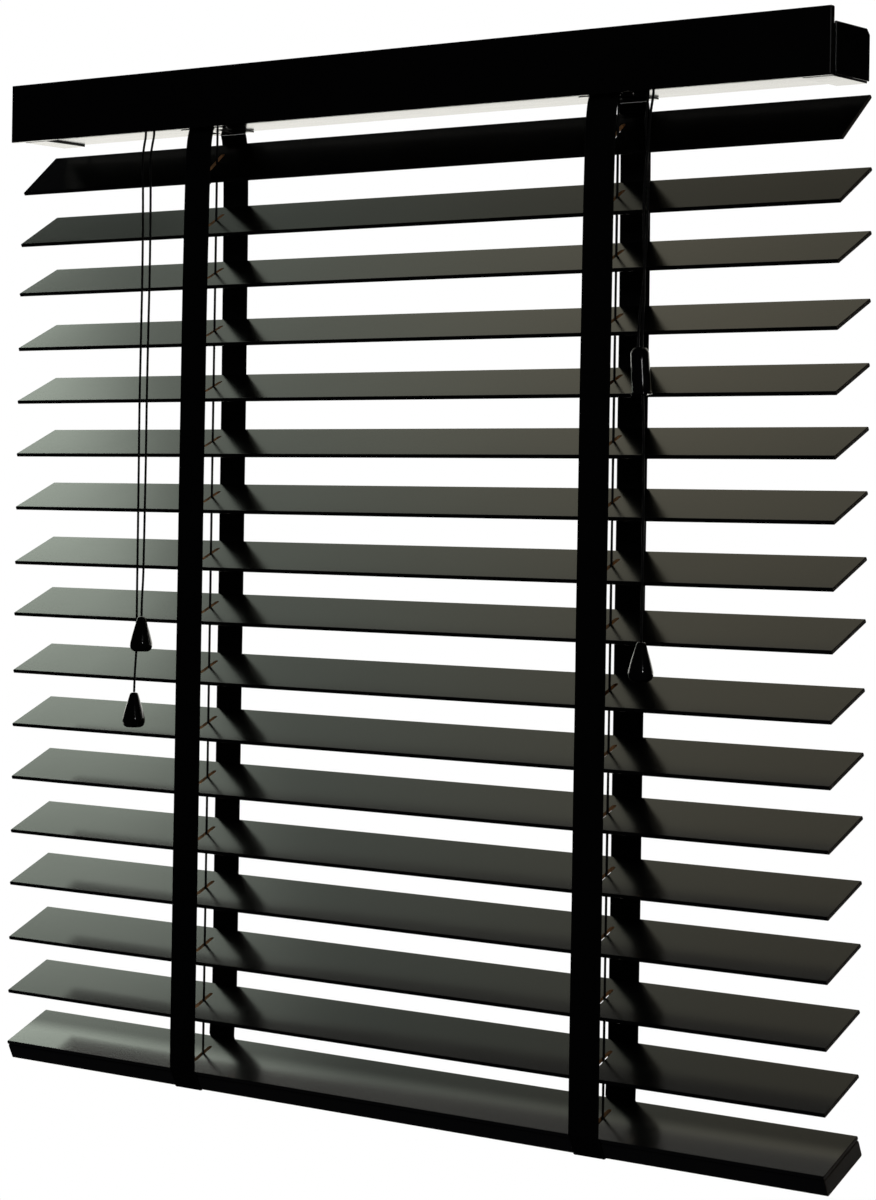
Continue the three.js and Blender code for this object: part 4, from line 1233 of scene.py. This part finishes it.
class BLIND_OT_mechanism(bpy.types.Operator):
    """Finishes the tilt rod, drums, cradles, cord tilter and cord lock."""

    bl_idname = "blind.mechanism"
    bl_label = "Mechanism"

    def execute(self, context):
        steel, plastic, nylon = zinc_finish(), plastic_finish(), nylon_finish()
        refined("tilt_rod", "tilt_rod_bar", steel, 0.4 * MM)
        refined("cord_lock_roller", "cord_lock_roller_pin", steel, 0.2 * MM)
        refined("tilter_housing", "tilter_housing_shell", plastic, 0.25 * MM)
        refined("cord_lock", "cord_lock_shell", plastic, 0.25 * MM)
        refined("tilter_worm_pulley", "tilter_worm_pulley_turned", nylon, 0.15 * MM)
        for side in ("left", "right"):
            drum, cradle = f"ladder_drum_{side}", f"ladder_cradle_{side}"
            refined(drum, f"{drum}_spool", nylon, 0.25 * MM)
            refined(cradle, f"{cradle}_seat", plastic, 0.25 * MM)
        self.worm_wheel(nylon)
        return {"FINISHED"}

    def worm_wheel(self, material):
        """The toothed wheel on the rod: its radius at angle a is r + h tanh(2 cos(n a))."""
        a = np.linspace(0, 2 * np.pi, 144, endpoint=False)
        rim = 5.4 * MM + 0.7 * MM * np.tanh(2 * np.cos(18 * a))
        hub = 3.3 * MM * np.ones_like(a)
        eased = rim - 0.4 * MM
        loops = ((hub, -3.2), (eased, -3.2), (rim, -2.8), (rim, 2.8), (eased, 3.2), (hub, 3.2), (hub, -3.2))
        points = np.stack([
            np.column_stack([np.full(len(a), TILTER_X + x * MM), r * np.cos(a), r * np.sin(a) - ROD_DROP])
            for r, x in loops
        ])
        skin = Skin()
        skin.grid(points, ring=True)
        place("tilter_worm_wheel", skin.mesh("tilter_worm_wheel", [material]), "tilt_shaft")


class BLIND_PT_panel(bpy.types.Panel):
    """Lists the blind's sizes, colours and steps in the sidebar."""

    bl_label = "Venetian blind"
    bl_space_type = "VIEW_3D"
    bl_region_type = "UI"
    bl_category = "Blind"

    def draw(self, context):
        for operator in OPERATORS:
            self.layout.operator(operator.bl_idname)
        for group in (context.scene.blind_sizes, context.scene.blind_colours):
            column = self.layout.column()
            for name in group.__annotations__:
                column.prop(group, name)


OPERATORS = (
    BLIND_OT_stage, BLIND_OT_pull_cords, BLIND_OT_slats, BLIND_OT_bottom_rail, BLIND_OT_ladder_tapes,
    BLIND_OT_rungs, BLIND_OT_lift_cords, BLIND_OT_headrail, BLIND_OT_valance, BLIND_OT_mechanism,
)
CLASSES = (BlindSizes, BlindColours, *OPERATORS, BLIND_PT_panel)


def register():
    for kind in CLASSES:
        bpy.utils.register_class(kind)
    bpy.types.Scene.blind_sizes = bpy.props.PointerProperty(type=BlindSizes)
    bpy.types.Scene.blind_colours = bpy.props.PointerProperty(type=BlindColours)


def unregister():
    del bpy.types.Scene.blind_colours
    del bpy.types.Scene.blind_sizes
    for kind in reversed(CLASSES):
        bpy.utils.unregister_class(kind)


def main():
    """Builds the whole blind."""
    register()
    for operator in OPERATORS:
        family, name = operator.bl_idname.split(".")
        getattr(getattr(bpy.ops, family), name)()


if __name__ == "__main__":
    main()
